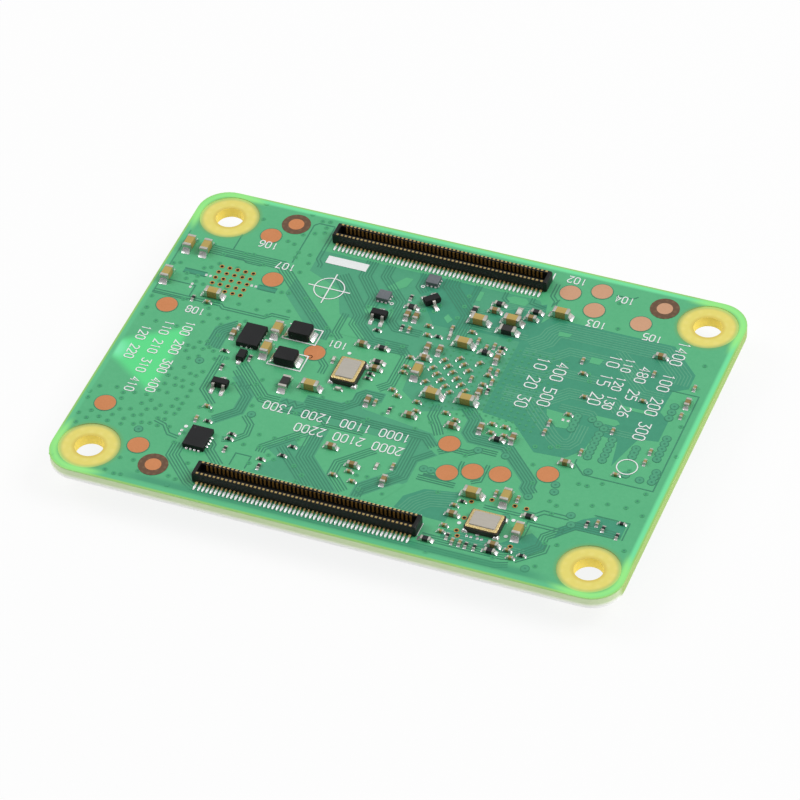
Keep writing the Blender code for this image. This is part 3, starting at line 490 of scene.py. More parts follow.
@dataclass
class Surface:
    """The points and faces of one piece, gathered in millimetres."""

    points: list[Array] = field(default_factory=list)
    corners: list[NDArray[np.int64]] = field(default_factory=list)
    sizes: list[NDArray[np.int64]] = field(default_factory=list)
    slots: list[NDArray[np.int64]] = field(default_factory=list)
    total: int = 0

    def add_faces(self, points: Array, faces: NDArray[np.int64], slot: Any = 0) -> None:
        """Adds points and the faces between them.

        Args:
            points: Points, three numbers each.
            faces: Rows of point numbers, with the same count in each row.
            slot: The finish of the faces, one number or one for each face.
        """
        self.points.append(points.reshape(-1, 3))
        self.corners.append((faces + self.total).ravel())
        self.sizes.append(np.full(len(faces), faces.shape[1]))
        self.slots.append(np.broadcast_to(np.asarray(slot), (len(faces),)))
        self.total += points.reshape(-1, 3).shape[0]

    def add_grid(self, grid: Array, slot: Any = 0, around: bool = False, caps: bool = False) -> None:
        """Adds grids of points with a four-cornered face between each two rows and columns.

        Args:
            grid: Points as rows by columns by three, or copies of that.
            slot: The finish, one number or one for each strip between two rows.
            around: Whether each row is a closed loop.
            caps: Whether the first and last rows are each closed with one face.
        """
        grid = grid.reshape(-1, *grid.shape[-3:])
        copies, rows, columns, _ = grid.shape
        index = np.arange(copies * rows * columns).reshape(copies, rows, columns)
        after = np.roll(index, -1, axis=2) if around else index[:, :, 1:]
        before = index if around else index[:, :, :-1]
        quads = np.stack([before[:, :-1], after[:, :-1], after[:, 1:], before[:, 1:]], axis=-1)
        strips = np.broadcast_to(np.asarray(slot), (rows - 1,))
        quad_slots = np.broadcast_to(strips[None, :, None], quads.shape[:3]).ravel()
        start = self.total
        self.add_faces(grid, quads.reshape(-1, 4), quad_slots)
        if caps:
            ends = np.concatenate([index[:, 0, ::-1], index[:, -1]]) + start
            self.corners.append(ends.ravel())
            self.sizes.append(np.full(len(ends), columns))
            self.slots.append(np.repeat([strips[0], strips[-1]], copies))

    def add_solids(
        self, shape: Array, spots: Sequence[Spot] | Array, turns: float = 0.0, side: Side = Side.UPPER,
        gap: float = 0.0, slot: Any = 0,
    ) -> None:
        """Adds copies of a lofted shape, each closed at both ends, at places on the board.

        Args:
            shape: A grid of points that stands on zero, each row a closed loop.
            spots: The x and y of each copy.
            turns: The turn of the copies in degrees.
            side: The face of the board that they stand on.
            gap: Distance between their feet and the board.
            slot: The finish, one number or one for each strip between two rows.
        """
        self.add_grid(placed(shape, spots, turns, side, gap), slot, around=True, caps=True)

    def build_layer(self, name: str, *finishes: Finish) -> None:
        """Makes a flat layer of open faces that lies on the board."""
        self.build(name, finishes, ("pcb",), "board", closed=False)

    def build(
        self, name: str, finishes: Sequence[Finish], stands_for: Sequence[str], slot: str,
        closed: bool = True, weld: bool = False,
    ) -> None:
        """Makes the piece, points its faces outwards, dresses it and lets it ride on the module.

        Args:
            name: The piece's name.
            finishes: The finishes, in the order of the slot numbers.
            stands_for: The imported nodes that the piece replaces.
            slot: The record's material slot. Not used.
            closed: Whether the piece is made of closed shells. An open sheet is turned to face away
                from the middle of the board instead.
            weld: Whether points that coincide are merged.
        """
        mesh = bpy.data.meshes.new(name)
        points = np.concatenate(self.points) * MM
        corners = np.concatenate(self.corners)
        sizes = np.concatenate(self.sizes)
        mesh.vertices.add(len(points))
        mesh.vertices.foreach_set("co", points.ravel())
        mesh.loops.add(len(corners))
        mesh.loops.foreach_set("vertex_index", corners.astype(np.int32))
        mesh.polygons.add(len(sizes))
        mesh.polygons.foreach_set("loop_start", (np.cumsum(sizes) - sizes).astype(np.int32))
        mesh.polygons.foreach_set("material_index", np.concatenate(self.slots).astype(np.int32))
        mesh.update(calc_edges=True)
        shape = bmesh.new()
        shape.from_mesh(mesh)
        if weld:
            bmesh.ops.remove_doubles(shape, verts=shape.verts, dist=1e-7)
            loose = [vertex for vertex in shape.verts if not vertex.link_faces]
            bmesh.ops.delete(shape, geom=loose, context="VERTS")
        if closed:
            bmesh.ops.recalc_face_normals(shape, faces=shape.faces)
        else:
            middle = (BOARD_TOP + BOARD_BOTTOM) / 2 * MM
            inward = [face for face in shape.faces if face.normal.z * (face.verts[0].co.z - middle) < 0]
            bmesh.ops.reverse_faces(shape, faces=inward)
        shape.to_mesh(mesh)
        shape.free()
        mesh.shade_smooth()
        mesh.set_sharp_from_angle(angle=SHARP_ANGLE)
        for finish in finishes:
            mesh.materials.append(finish.material())
        obj = bpy.data.objects.new(name, mesh)
        bpy.context.scene.collection.objects.link(obj)
        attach(obj, "root")
        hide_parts(*stands_for)
        log.info("%s: %d faces", name, len(mesh.polygons))


def loops(width: Array, depth: Array, radius: Array, steps: int) -> Array:
    """Rounded rectangles about zero, each corner a quarter circle of the given radius.

    A point is the corner's own centre plus the radius times the cosine and sine of its angle.

    Args:
        width: Full width of each rectangle, as a column.
        depth: Full depth of each rectangle, as a column.
        radius: Corner radius of each rectangle, as a column.
        steps: Points to each corner.

    Returns:
        An array of rectangles by points by two.
    """
    turn = (np.arange(4)[:, None] * np.pi / 2 + np.linspace(0, np.pi / 2, steps)[None]).ravel()
    side = np.repeat(np.arange(4) * np.pi / 2 + np.pi / 4, steps)
    first = np.sign(np.cos(side)) * (width / 2 - radius) + radius * np.cos(turn)
    second = np.sign(np.sin(side)) * (depth / 2 - radius) + radius * np.sin(turn)
    return np.stack([first, second], axis=-1)


def bar(sections: Sequence[Sequence[float]], steps: int = 2) -> Array:
    """A bar along X through rounded rectangular sections.

    Args:
        sections: Rows of x, width, bottom, top and corner radius.
        steps: Points to each corner.

    Returns:
        A grid of sections by points by three.
    """
    x, width, low, high, radius = (column[:, None] for column in np.array(sections, float).T)
    flat = loops(width, high - low, radius, steps)
    height = flat[..., 1] + (low + high) / 2
    return np.stack([np.broadcast_to(x, height.shape), flat[..., 0], height], axis=-1)


def tower(levels: Sequence[Sequence[float]], steps: int = 3) -> Array:
    """An upright shape through rounded rectangular plans.

    Args:
        levels: Rows of height, length, width and corner radius.
        steps: Points to each corner.

    Returns:
        A grid of levels by points by three.
    """
    height, length, width, radius = (column[:, None] for column in np.array(levels, float).T)
    flat = loops(length, width, radius, steps)
    return np.concatenate([flat, np.broadcast_to(height[..., None], (*flat.shape[:2], 1))], axis=-1)


def block(length: float, width: float, levels: Sequence[Sequence[float]], steps: int = 3) -> Array:
    """An upright block whose plan shrinks alike both ways.

    Args:
        length: Full length.
        width: Full width.
        levels: Rows of height, what the length and width lose there, and corner radius.
        steps: Points to each corner.

    Returns:
        A grid of levels by points by three.
    """
    return tower([(height, length - less, width - less, radius) for height, less, radius in levels], steps)


def turned(profile: Sequence[Spot], steps: int = 20) -> Array:
    """A profile turned about Z: each point goes round at its own radius and height.

    Args:
        profile: Rows of radius and height.
        steps: Points to a turn.

    Returns:
        A grid of profile points by steps by three.
    """
    radius, height = (column[:, None] for column in np.array(profile, float).T)
    angle = np.linspace(0, 2 * np.pi, steps, endpoint=False)[None]
    height = np.broadcast_to(height, (len(profile), steps))
    return np.stack([radius * np.cos(angle), radius * np.sin(angle), height], axis=-1)


def plate(outline: Sequence[Spot], width: float) -> Array:
    """A flat outline in Y and Z, carried along X by the width.

    Args:
        outline: Points of the outline as y and z.
        width: The plate's thickness along X, about zero.

    Returns:
        A grid of two rows by outline points by three.
    """
    flat = np.array(outline, float)
    rows = [np.column_stack([np.full(len(flat), x), flat]) for x in (-width / 2, width / 2)]
    return np.stack(rows)


def placed(
    shape: Array, spots: Sequence[Spot] | Array, turns: float | Sequence[float] | Array = 0.0,
    side: Side = Side.UPPER, gap: float = 0.0,
) -> Array:
    """Copies a shape to places on the board.

    On the lower face the shape is first turned over about X. A copy is turned about the vertical by
    the rotation's sine and cosine, and then moved.

    Args:
        shape: A grid of points that stands on zero.
        spots: The x and y of each copy.
        turns: The turn of the copies in degrees, one for all or one for each.
        side: The face of the board that it stands on.
        gap: Distance between its foot and the board.

    Returns:
        The copies, one more dimension than the shape.
    """
    spots = np.array(spots, float).reshape(-1, 2)
    angle = np.radians(np.broadcast_to(np.asarray(turns, float), (len(spots),)))
    sign = side.value
    x, y, z = shape[..., 0], sign * shape[..., 1], sign * (shape[..., 2] + gap)
    base = BOARD_TOP if side is Side.UPPER else BOARD_BOTTOM
    lead = (len(spots),) + (1,) * x.ndim
    cosine, sine = np.cos(angle).reshape(lead), np.sin(angle).reshape(lead)
    out = np.empty((len(spots), *shape.shape))
    out[..., 0] = x * cosine - y * sine + spots[:, 0].reshape(lead)
    out[..., 1] = x * sine + y * cosine + spots[:, 1].reshape(lead)
    out[..., 2] = z + base
    return out


def beside(path: Sequence[Spot], distance: float) -> Array:
    """A path that runs beside another at one distance, its bends mitred.

    Each point moves along the sum of the two neighbouring unit normals, by the distance over one
    plus the cosine between them.

    Args:
        path: Points of the path.
        distance: How far to the left of it the new path runs.

    Returns:
        The points of the new path.
    """
    points = np.array(path, float)
    step = np.diff(points, axis=0)
    step /= np.linalg.norm(step, axis=1, keepdims=True)
    normal = np.stack([-step[:, 1], step[:, 0]], axis=1)
    before = np.vstack([normal[:1], normal])
    after = np.vstack([normal, normal[-1:]])
    lean = 1 + np.sum(before * after, axis=1, keepdims=True)
    return points + distance * (before + after) / np.maximum(lean, 0.35)


def ribbon(path: Sequence[Spot] | Array, width: float, height: float) -> Array:
    """A flat ribbon along a path, at one height.

    Args:
        path: Points of the middle line.
        width: Width of the ribbon.
        height: Height over the frame's origin.

    Returns:
        A grid of path points by two by three.
    """
    edges = np.stack([beside(path, width / 2), beside(path, -width / 2)], axis=1)
    return np.concatenate([edges, np.full((*edges.shape[:2], 1), height)], axis=-1)


def crossings(xs: Sequence[float] | Array, ys: Sequence[float] | Array) -> Array:
    """Places where two sets of lines cross, one row each."""
    return np.stack([side.ravel() for side in np.meshgrid(xs, ys)], axis=1)


def clear_of(spots: Array, taken: Array, distance: float) -> Array:
    """Which places lie farther than a distance from every taken one."""
    return np.min(np.linalg.norm(spots[:, None] - taken[None], axis=2), axis=1) > distance


def from_tenths(numbers: Path) -> Array:
    """Places from x, y, x, y and so on in tenths of a millimetre."""
    return np.array(numbers, float).reshape(-1, 2) / 10


# Places read from the photograph, in millimetres from the middle of the board, as in the source
SMALL_CAPACITORS_ALONG = (
    (-21.28, 4.62), (-15.78, -8.4), (-0.52, -0.9), (0.13, -1.5), (-0.47, 8.2), (-0.12, 7.0), (-0.52, 3.66),
    (-0.47, 2.36), (-0.47, 1.6), (3.68, 8.7), (7.05, 7.0), (7.1, 3.7), (7.08, 2.4), (2.18, -1.7),
    (2.53, -2.85), (5.18, -2.2), (6.33, -2.8), (9.68, -2.2), (10.93, -2.2), (9.98, -3.3), (11.25, -3.3),
    (0.33, -13.2), (-1.62, -12.95), (-0.38, -12.1), (10.1, -13.05), (16.5, -16.8), (17.05, -17.6),
    (15.23, 6.75), (16.4, 3.85), (15.8, 1.2), (21.6, 5.05), (22.4, -4.75), (10.11, -15.7), (10.11, -16.5),
)
SMALL_CAPACITORS_ACROSS = (
    (-17.17, 2.45), (-16.1, -10.2), (-2.02, 7.2), (-1.42, -2.95), (1.73, 8.6), (4.63, 7.8), (5.63, 7.15),
    (6.28, 7.6), (7.03, 4.45), (7.73, 4.4), (7.73, 3.05), (5.78, 2.81), (3.13, -10.2), (11.5, -17.3),
    (12.2, -17.3), (15.2, -10.45), (13.1, -10.4), (14.63, 8.4), (20.3, 0.5), (21.4, 8.8), (25.5, 8.2),
    (25.5, 4.35), (14.5, -0.3), (14.5, -1.6), (24.4, -0.95), (24.35, -2.4), (18.5, -3.0), (22.9, -11.05),
)
WHITE_CAPACITORS = ((-7.15, 1.10, 90), (1.87, 7.60, 90), (-5.30, -2.40, 0))
SMALL_RESISTORS_ALONG = (
    (-17.15, -1.0), (-14.98, -10.2), (-4.8, 6.13), (-3.25, 0.43), (-3.25, -0.2), (0.87, 7.12), (7.05, 7.6),
    (-12.25, -11.05), (-12.25, -11.7), (-6.4, -10.8), (-6.85, -12.15), (-8.5, -13.2), (10.6, -12.35),
    (17.9, -17.0), (24.95, -10.4),
)
SMALL_RESISTORS_ACROSS = (
    (-22.81, 4.76), (-14.56, -1.13), (-16.56, -3.07), (-3.42, 11.35), (-2.75, 7.25), (7.75, 1.8),
    (0.15, -3.5), (-12.1, -13.0), (-8.35, -14.1), (10.85, -16.8), (12.8, -17.35), (13.6, -17.35),
    (22.05, -11.4), (23.6, -11.5), (25.05, -12.0),
)
PALE_SMALL_RESISTOR = (1.7, -10.6, 90)
MEDIUM_CAPACITORS_ALONG = (
    (-5.39, 3.84), (-3.07, 1.15), (0.72, 3.95), (4.66, 12.05), (8.2, 12.15), (21.26, 11.1), (17.66, -4.85),
    (15.1, -16.65), (-0.4, -11.3), (-3.1, -9.7), (2.16, -3.6), (6.3, -3.65), (10.3, -14.2),
)
MEDIUM_CAPACITORS_ACROSS = (
    (-17.25, 1.32), (-2.86, 8.91), (-2.0, 8.91), (0.53, 5.36), (1.7, 5.37), (7.1, 6.0), (7.1, 1.2),
    (25.56, 6.0), (3.0, -12.2), (-2.14, -3.05), (8.9, -3.1), (12.1, -3.4),
)
MEDIUM_RESISTORS_ALONG = (
    (-2.9, 10.11), (-3.46, 3.96), (-3.15, 2.06), (5.75, 6.45), (4.73, 13.1), (8.35, 13.15), (16.85, -12.25),
    (15.05, -17.4), (10.8, -3.95), (9.17, -17.85),
)
MEDIUM_RESISTORS_ACROSS = ((2.82, 11.50),)
PALE_MEDIUM_RESISTOR = (6.85, 12.6, 90)
LARGE_CAPACITORS = (
    (-21.14, 5.68, 0), (-7.8, -3.05, 0), (3.51, 6.8, 0), (3.16, -0.5, 0), (6.4, -0.25, 0), (3.76, 10.2, 0),
    (6.71, 11.15, 0), (10.69, 13.5, 0), (11.15, -11.3, 0), (-26.0, 11.47, 90), (-24.28, 11.44, 90),
    (-26.35, 6.82, 90), (-13.5, 3.0, 90), (-13.5, 0.2, 90), (0.79, 1.94, 90), (14.2, -10.83, 90),
    (16.66, -14.43, 90),
)
BULK_CAPACITORS = ((-25.2, 9.6), (-25.2, 6.0), (-10.6, 11.2), (-10.6, 7.4))
BEADS = ((-10.15, -3.45, 90), (6.72, 9.80, 0))
BUCK_INDUCTORS = ((-11.28, 3.32), (-11.28, -0.33))
SUPPLY_INDUCTORS = ((-21.3, 13.0), (-17.3, 13.0), (-14.9, 9.4), (-14.9, 6.2))
TRANSISTORS = ((-15.74, -5.43, 0), (-5.31, 7.97, 0), (-1.36, 11.38, 225))
TEST_PADS = (
    (-19.23, 15.28), (-16.72, 9.58), (-24.81, 3.19), (-24.89, -10.92), (-19.79, -15.05), (-9.2, 1.5),
    (6.86, -5.75), (10.1, -8.43), (7.96, -9.32), (12.54, -7.96), (16.6, -6.57),
)
PALE_TEST_PADS = ((10.39, 16.82), (13.14, 17.93), (13.29, 15.25), (18.00, 14.89))
FIDUCIALS = ((-17.56, 17.56), (19.43, 17.57), (-17.51, -16.92))
OPEN_VIAS = (
    (13.0, -11.25), (11.35, -12.05), (11.45, -14.15), (11.35, -15.85), (11.65, -16.45), (15.2, -11.3),
    (16.3, -11.3), (16.55, -16.2), (-9.4, 0.85),
)
BALL_PITCH = 0.65
PROCESSOR = (3.7, 3.0)
MEMORY = (19.2, 3.0)
FLASH = (-0.5, -12.3)
NETWORK = (13.5, -13.3)
CONTROLLER = (-20.35, 8.15)
CAN = (-15.0, -9.0)
RECEPTACLE = (-17.6, -16.6)


def lattice() -> Array:
    """Every third diagonal of a square lattice, without the two taken points."""
    column, row = np.meshgrid(np.arange(7), np.arange(8), indexing="ij")
    kept = (column + row) % 3 == 1
    kept &= ~((column == 0) & (row == 7)) & ~((column == 6) & (row == 4))
    return np.stack([1.88 + BALL_PITCH * column[kept], 0.41 + BALL_PITCH * row[kept]], axis=1)


def row_beside(
    spot: Spot, reach: Spot, side: Spot, count: int, pitch: float = 1.3, away: float = 0.9
) -> Array:
    """Places in a row along one side of a chip on the lower face.

    Args:
        spot: Middle of the chip.
        reach: The chip's length and width.
        side: Direction from the chip to the row.
        count: Places in the row.
        pitch: Distance between places.
        away: Distance from the chip's side.

    Returns:
        The places, one row each.
    """
    run = (np.arange(count) - (count - 1) / 2) * pitch
    out = np.array(side) * (np.array(reach) / 2 + away)
    along = np.array([abs(side[1]), abs(side[0])])
    return np.array(spot) + out + run[:, None] * along


@dataclass
class BoardPanel:
    """The laminate: its two masked faces, routed edge, and four screw holes in bare rings."""

    half: Spot = HALF
    corner: float = CORNER
    cell: float = 7.0
    hole: float = 1.35
    ring: float = 2.85
    recess: float = 0.06
    bevel: float = 0.03
    divisions: int = 14

    def corner_rim(self) -> Array:
        """The outline of the square cell round a hole, its outer corner rounded.

        Two sides are evenly divided, and the other two end in a quarter circle.

        Returns:
            The points round the cell, from its inner corner, about the middle of the hole.
        """
        edge = self.cell / 2
        even = np.linspace(-edge, edge, self.divisions + 1)
        straight = np.linspace(-edge, edge - self.corner, self.divisions // 2 + 1)
        angle = np.linspace(0, np.pi / 2, 11)[1:-1]
        arc = edge - self.corner + self.corner * np.stack([np.cos(angle), np.sin(angle)], axis=1)
        return np.concatenate([
            np.stack([even[:-1], np.full(self.divisions, -edge)], axis=1),
            np.stack([np.full(len(straight), edge), straight], axis=1),
            arc,
            np.stack([straight[::-1], np.full(len(straight), edge)], axis=1),
            np.stack([np.full(self.divisions - 1, -edge), even[::-1][1:-1]], axis=1),
        ])

    def corner_profile(self) -> list[tuple[float | None, float, int]]:
        """Radius, height and finish from the rim on top, down the hole, to the rim below."""
        top, low = BOARD_TOP - self.recess, BOARD_BOTTOM + self.recess
        rim = self.ring + self.bevel
        return [
            (None, BOARD_TOP, 0), (rim, BOARD_TOP, 0), (self.ring, top, 2), (self.hole, top, 2),
            (self.hole, low, 3), (self.ring, low, 2), (rim, BOARD_BOTTOM, 0), (None, BOARD_BOTTOM, 0),
        ]

    def build(self) -> None:
        """Joins the four hole cells, the field between them and the routed edge."""
        surface = Surface()
        rim = self.corner_rim()
        unit = rim / np.linalg.norm(rim, axis=1, keepdims=True)
        profile = self.corner_profile()
        rows = [
            np.column_stack([rim if radius is None else unit * radius, np.full(len(rim), height)])
            for radius, height, _ in profile
        ]
        grid = np.stack(rows)
        centre = np.array([self.half[0] - self.cell / 2, self.half[1] - self.cell / 2])
        slots = [0] + [entry[2] for entry in profile[2:]]
        outer = slice(self.divisions, len(rim) - self.divisions + 2)
        walls = np.stack([grid[0, outer], grid[-1, outer]])
        for sign in ((1, 1), (1, -1), (-1, 1), (-1, -1)):
            flip = np.array([*sign, 1])
            move = np.array([*(centre * sign), 0])
            surface.add_grid(grid * flip + move, slots, around=True)
            surface.add_grid(walls * flip + move, 1)
        self.add_field(surface)
        finishes = (MASK, LAMINATE_EDGE, BARE_LAMINATE, DRILLED_LAMINATE)
        surface.build("board_panel", finishes, ("pcb",), "board", weld=True)

    def lines(self, half: float) -> Array:
        """Grid lines that meet the divided sides of the hole cells."""
        inner = half - self.cell
        return np.concatenate([
            np.linspace(-half, -inner, self.divisions + 1), np.linspace(-inner, inner, 9)[1:-1],
            np.linspace(inner, half, self.divisions + 1),
        ])

    def add_field(self, surface: Surface) -> None:
        """Adds the two faces between the hole cells, and the straight runs of the edge.

        Args:
            surface: The surface that gets them.
        """
        xs, ys = self.lines(self.half[0]), self.lines(self.half[1])
        index = np.arange(len(xs) * len(ys)).reshape(len(ys), len(xs))
        quads = np.stack([index[:-1, :-1], index[:-1, 1:], index[1:, 1:], index[1:, :-1]], axis=-1)
        middle_x = np.abs((xs[:-1] + xs[1:]) / 2) < self.half[0] - self.cell
        middle_y = np.abs((ys[:-1] + ys[1:]) / 2) < self.half[1] - self.cell
        kept = quads[middle_y[:, None] | middle_x[None, :]]
        grid_x, grid_y = np.meshgrid(xs, ys)
        for height in (BOARD_TOP, BOARD_BOTTOM):
            points = np.stack([grid_x, grid_y, np.full(grid_x.shape, height)], axis=-1)
            surface.add_faces(points, kept)
        for run, half, fixed in ((xs, self.half[1], 1), (ys, self.half[0], 0)):
            reach = (self.half[0] if fixed else self.half[1]) - self.cell
            along = run[np.abs(run) < reach + 1e-6]
            for sign in (-1, 1):
                line = np.empty((2, len(along), 3))
                line[..., 1 - fixed] = along
                line[..., fixed] = sign * half
                line[..., 2] = np.array([[BOARD_TOP], [BOARD_BOTTOM]])
                surface.add_grid(line, 1)


# Copper-free lines between the copper areas: a path in tenths of a millimetre, how many run side by
# side, and their pitch in millimetres
GAP_RUNS: Runs = (
    ((-219, 146, -219, 124), 1, 0.3), ((-240, 123, -165, 123, -158, 116, -142, 100), 5, -0.27),
    ((-226, 113, -204, 113, -200, 110, -186, 110, -182, 113), 1, 0.3),
    ((-159, 124, -159, 180, -155, 184, -139, 184), 1, 0.3),
    ((-136, 183, -136, 137, -131, 131, -131, 126), 2, -0.3), ((-268, 136, -268, 44, -232, 44), 1, 0.3),
    ((-269, 49, -199, 49, -196, 46, -156, 46, -150, 52, -132, 52), 2, -0.3),
    ((-262, 65, -233, 65, -233, 49), 1, 0.3), ((-252, 85, -229, 85), 2, -0.55),
    ((-176, 85, -158, 85), 2, -0.55), ((-176, 32, -190, 19, -192, 14, -192, -8), 6, 0.27),
    ((-174, -16, -174, -64, -157, -81), 3, 0.27),
    ((-197, -116, -187, -119, -179, -129, -168, -131), 2, 0.3),
    ((-169, -135, -169, -154, -140, -183, -132, -187.5, -30, -187.5), 5, 0.27),
    ((-146, 104, -89, 47, -89, 35), 5, -0.27), ((-103, 127, -63, 79, -63, 67, -47, 52, -13, 52), 6, -0.27),
    ((-92, 150, -92, 126, -72, 102, -72, 88), 5, 0.27),
    ((-72, 150, -72, 132, -45, 104, -45, 76, -35, 66, -8, 66), 4, 0.27),
    ((-87, 74, -87, 46, -79, 38), 3, 0.27), ((-36, 150, -36, 130, -28, 122), 5, 0.27),
    ((-12, 150, -12, 138, 19, 106, 19, 79), 6, 0.27), ((23, 150, 23, 126), 3, -0.27),
    ((49, 150, 49, 142, 54, 138), 2, -0.27), ((73, 150, 73, 142, 89, 139), 2, 0.27),
    ((-42, 44, -22, 44, -14, 36, -14, 0, -22, -8), 4, 0.27), ((-74, -9, -74, 3, -84, 13, -84, 24), 3, 0.27),
    ((-146, -17, -112, -51, -99, -51), 5, -0.27), ((-154, -32, -140, -46, -140, -50), 4, 0.27),
    ((-142, -41, -125, -58, -125, -81, -144, -100), 4, -0.27),
    ((-123, -85, -114, -94, -113, -105, -120, -113, -130, -116), 3, 0.27),
    ((-143, -115, -131, -127, -131, -133, -116, -148), 4, -0.27),
    ((-110, -147, -110, -131, -95, -131, -95, -147), 1, 0.3),
    ((-76, -41, -43, -41, -35, -33, -35, -23, -29, -17, -10, -17), 4, -0.27),
    ((-97, -56, -93, -51, -89, -56, -85, -51, -81, -56, -76, -52), 2, -0.3),
    ((-74, -52, 47, -52, 59, -64), 4, -0.27), ((-96, -64, -54, -64, -46, -70, -10, -70), 2, -0.27),
    ((-42, -76, -64, -96, -86, -118, -86, -123), 4, -0.27), ((-43, -85, -43, -113, -8, -148), 6, -0.27),
    ((-72, -107, -31, -148), 4, -0.27), ((5, -84, -22, -111, -22, -129, -3, -148), 4, 0.27),
    ((37, -14, 37, -30, 46, -42, 52, -52), 4, 0.27), ((34, -60, 34, -108, 9, -133, 9, -148), 4, 0.27),
    ((61, -75, 48, -88, 48, -112, 14, -146), 3, -0.27),
    ((63, -11, 75, -23, 75, -40, 84, -49, 116, -49, 149, -82, 149, -90, 157, -98), 5, 0.27),
    ((64, -73, 74, -66, 90, -66, 99, -59, 114, -59), 3, 0.27), ((87, -75, 87, -82, 90, -92), 2, 0.27),
    ((113, -72, 113, -94, 105, -99), 2, -0.27), ((56, -109, 92, -109), 3, 0.27),
    ((60, -103, 83, -103), 3, 0.13), ((225, 73, 262, 73, 262, -56, 196, -56, 184, -44, 184, -39), 1, 0.3),
    ((160, -120, 174, -120, 180, -114, 203, -114), 2, 0.4), ((126, -123.5, 162, -123.5), 2, 0.3),
    ((169, -152, 173, -146, 173, -131, 204, -131), 2, 0.35),
    ((86, -179, 164, -179, 178, -172, 194, -156, 194, -142, 213, -123, 250, -123), 4, 0.27),
    ((176, -179, 198, -159, 198, -149), 2, 0.27), ((256, -123, 256, -101, 223, -101), 1, 0.3),
    ((-30, -190, 160, -190, 172, -186), 3, 0.27), ((94, 146, 98, 156), 1, 0.3),
    ((88, 176, 88, 158, 94, 152, 94, 144), 2, 0.3), ((146, 179, 162, 179, 166, 183), 1, 0.3),
)
# Fields of bare laminate under the mask, each as its outline in tenths of a millimetre
DARK_FIELDS: tuple[Path, ...] = (
    (82, 90, 89, 115, 98, 130, 220, 130, 250, 99, 250, 80, 237, 72, 235, 43, 246, 34, 246, 6, 228, 3,
     224, -9, 216, -37, 211, -6, 189, -2, 186, -26, 173, -41, 144, -43, 114, -13, 82, -9),
    (92, 132, 92, 96, 84, 90, 24, 90, 24, 110, 89, 146), (-39, 149, 23, 149, 23, 86, -2, 86, -30, 124),
    (50, -149, 53, -133, 68, -119, 100, -113, 100, -152, 85, -152),
    (-252, 85.5, -229, 85.5, -229, 78.5, -252, 78.5), (-177, 85.5, -158, 85.5, -158, 78.5, -177, 78.5),
    (102, -170, 182, -170, 196, -152, 178, -140, 156, -160, 102, -160),
    (215, -109, 226, -102, 254, -102, 254, -122, 212, -124, 198, -140, 199, -126),
)
# Fields where tracks run close together, so the mask looks half way between the two
TRACK_FIELDS: tuple[Path, ...] = (
    (-139, 149, 81, 149, 93, 131, 82, 120, 82, -6, 30, -26, 3, -6, -2, 40, -50, 45, -66, 62, -90, 72,
     -104, 104, -139, 119), (-147, 105, -88, 48, -88, 34, -102, 34, -149, 82),
    (-104, 129, -61, 80, -61, 68, -45, 53, -12, 53, -12, 38, -54, 38, -86, 70, -86, 88, -114, 116),
    (-94, 149, -58, 149, -42, 104, -42, 78, -74, 86, -94, 126),
    (-77, -39, -44, -39, -36, -32, -36, -22, -29, -15, -9, -15, -9, -27, -24, -40, 49, -50, 61, -63,
     42, -70, -98, -68, -98, -50, -77, -50),
    (-41, -74, -41, -112, -4, -149, -90, -149, -73, -124, -88, -114),
    (-123, -56, -123, -82, -144, -103, -156, -103, -135, -80, -135, -56, -152, -40, -144, -34),
    (32, -58, 32, -107, 7, -132, 7, -149, 23, -149, 50, -116, 50, -89, 64, -75, 46, -66),
    (60, -10, 73, -23, 73, -41, 83, -51, 115, -51, 147, -83, 147, -91, 156, -100, 162, -92, 160, -77,
     120, -38, 88, -36, 86, -19, 70, -5), (-177, 33, -193, 19, -193, -9, -177, -9),
)
# Copper tracks on the dark fields, as above
TRACK_RUNS: Runs = (
    ((87, 94, 97, 104, 99, 114, 108, 126, 217, 127, 247, 97, 247, 82), 7, -0.3),
    ((90, 84, 116, 84, 129, 97, 180, 97, 214, 66, 232, 66), 4, -0.3),
    ((90, 58, 118, 58, 128, 68, 168, 68), 4, -0.3), ((90, 32, 132, 32, 146, 46, 194, 46, 204, 36), 5, -0.3),
    ((92, 12, 114, 12, 150, -24, 162, -32, 174, -29, 180, -19, 180, 4), 5, 0.3),
    ((146, 24, 178, 24, 196, 8, 226, 8), 3, -0.3), ((178, 110, 204, 86, 204, 74), 4, -0.3),
    ((87, 94, 30, 94), 3, -0.3), ((29, 108, 64, 132, 90, 132), 3, 0.3),
    ((98, -115, 72, -121, 59, -134, 54, -148), 7, 0.3), ((104, -168, 180, -168), 3, 0.28),
)
# Small islands of copper on those fields, as outlines
COPPER_ISLANDS: tuple[Path, ...] = (
    (-49, 139, -42, 139, -44, 127, -54, 118, -62, 120), (-70, 92, -62, 92, -62, 79, -70, 82),
    (-81, 70, -76, 70, -56, 50, -56, 46, -81, 46), (-49, 94, -43, 90, -43, 80, -49, 84),
    (-63, -87, -54, -87, -54, -103, -59, -105, -63, -101), (14, -149, 43, -120, 50, -120, 34, -149),
    (112, 115, 125, 115, 123, 110, 113, 109), (198, 40, 229, 40, 229, 36, 198, 36),
    (182, 20, 202, 20, 206, 16, 202, 12, 182, 12), (152, 92, 164, 92, 162, 84, 152, 84),
    (136, 14, 169, 12, 169, -4, 152, -6, 139, 6), (50, 143, 56, 147, 68, 147, 72, 143, 70, 137, 54, 137),
    (23, 143, 28, 143, 28, 130, 23, 130), (6, 104, 13, 98, 10, 92, 4, 98),
)
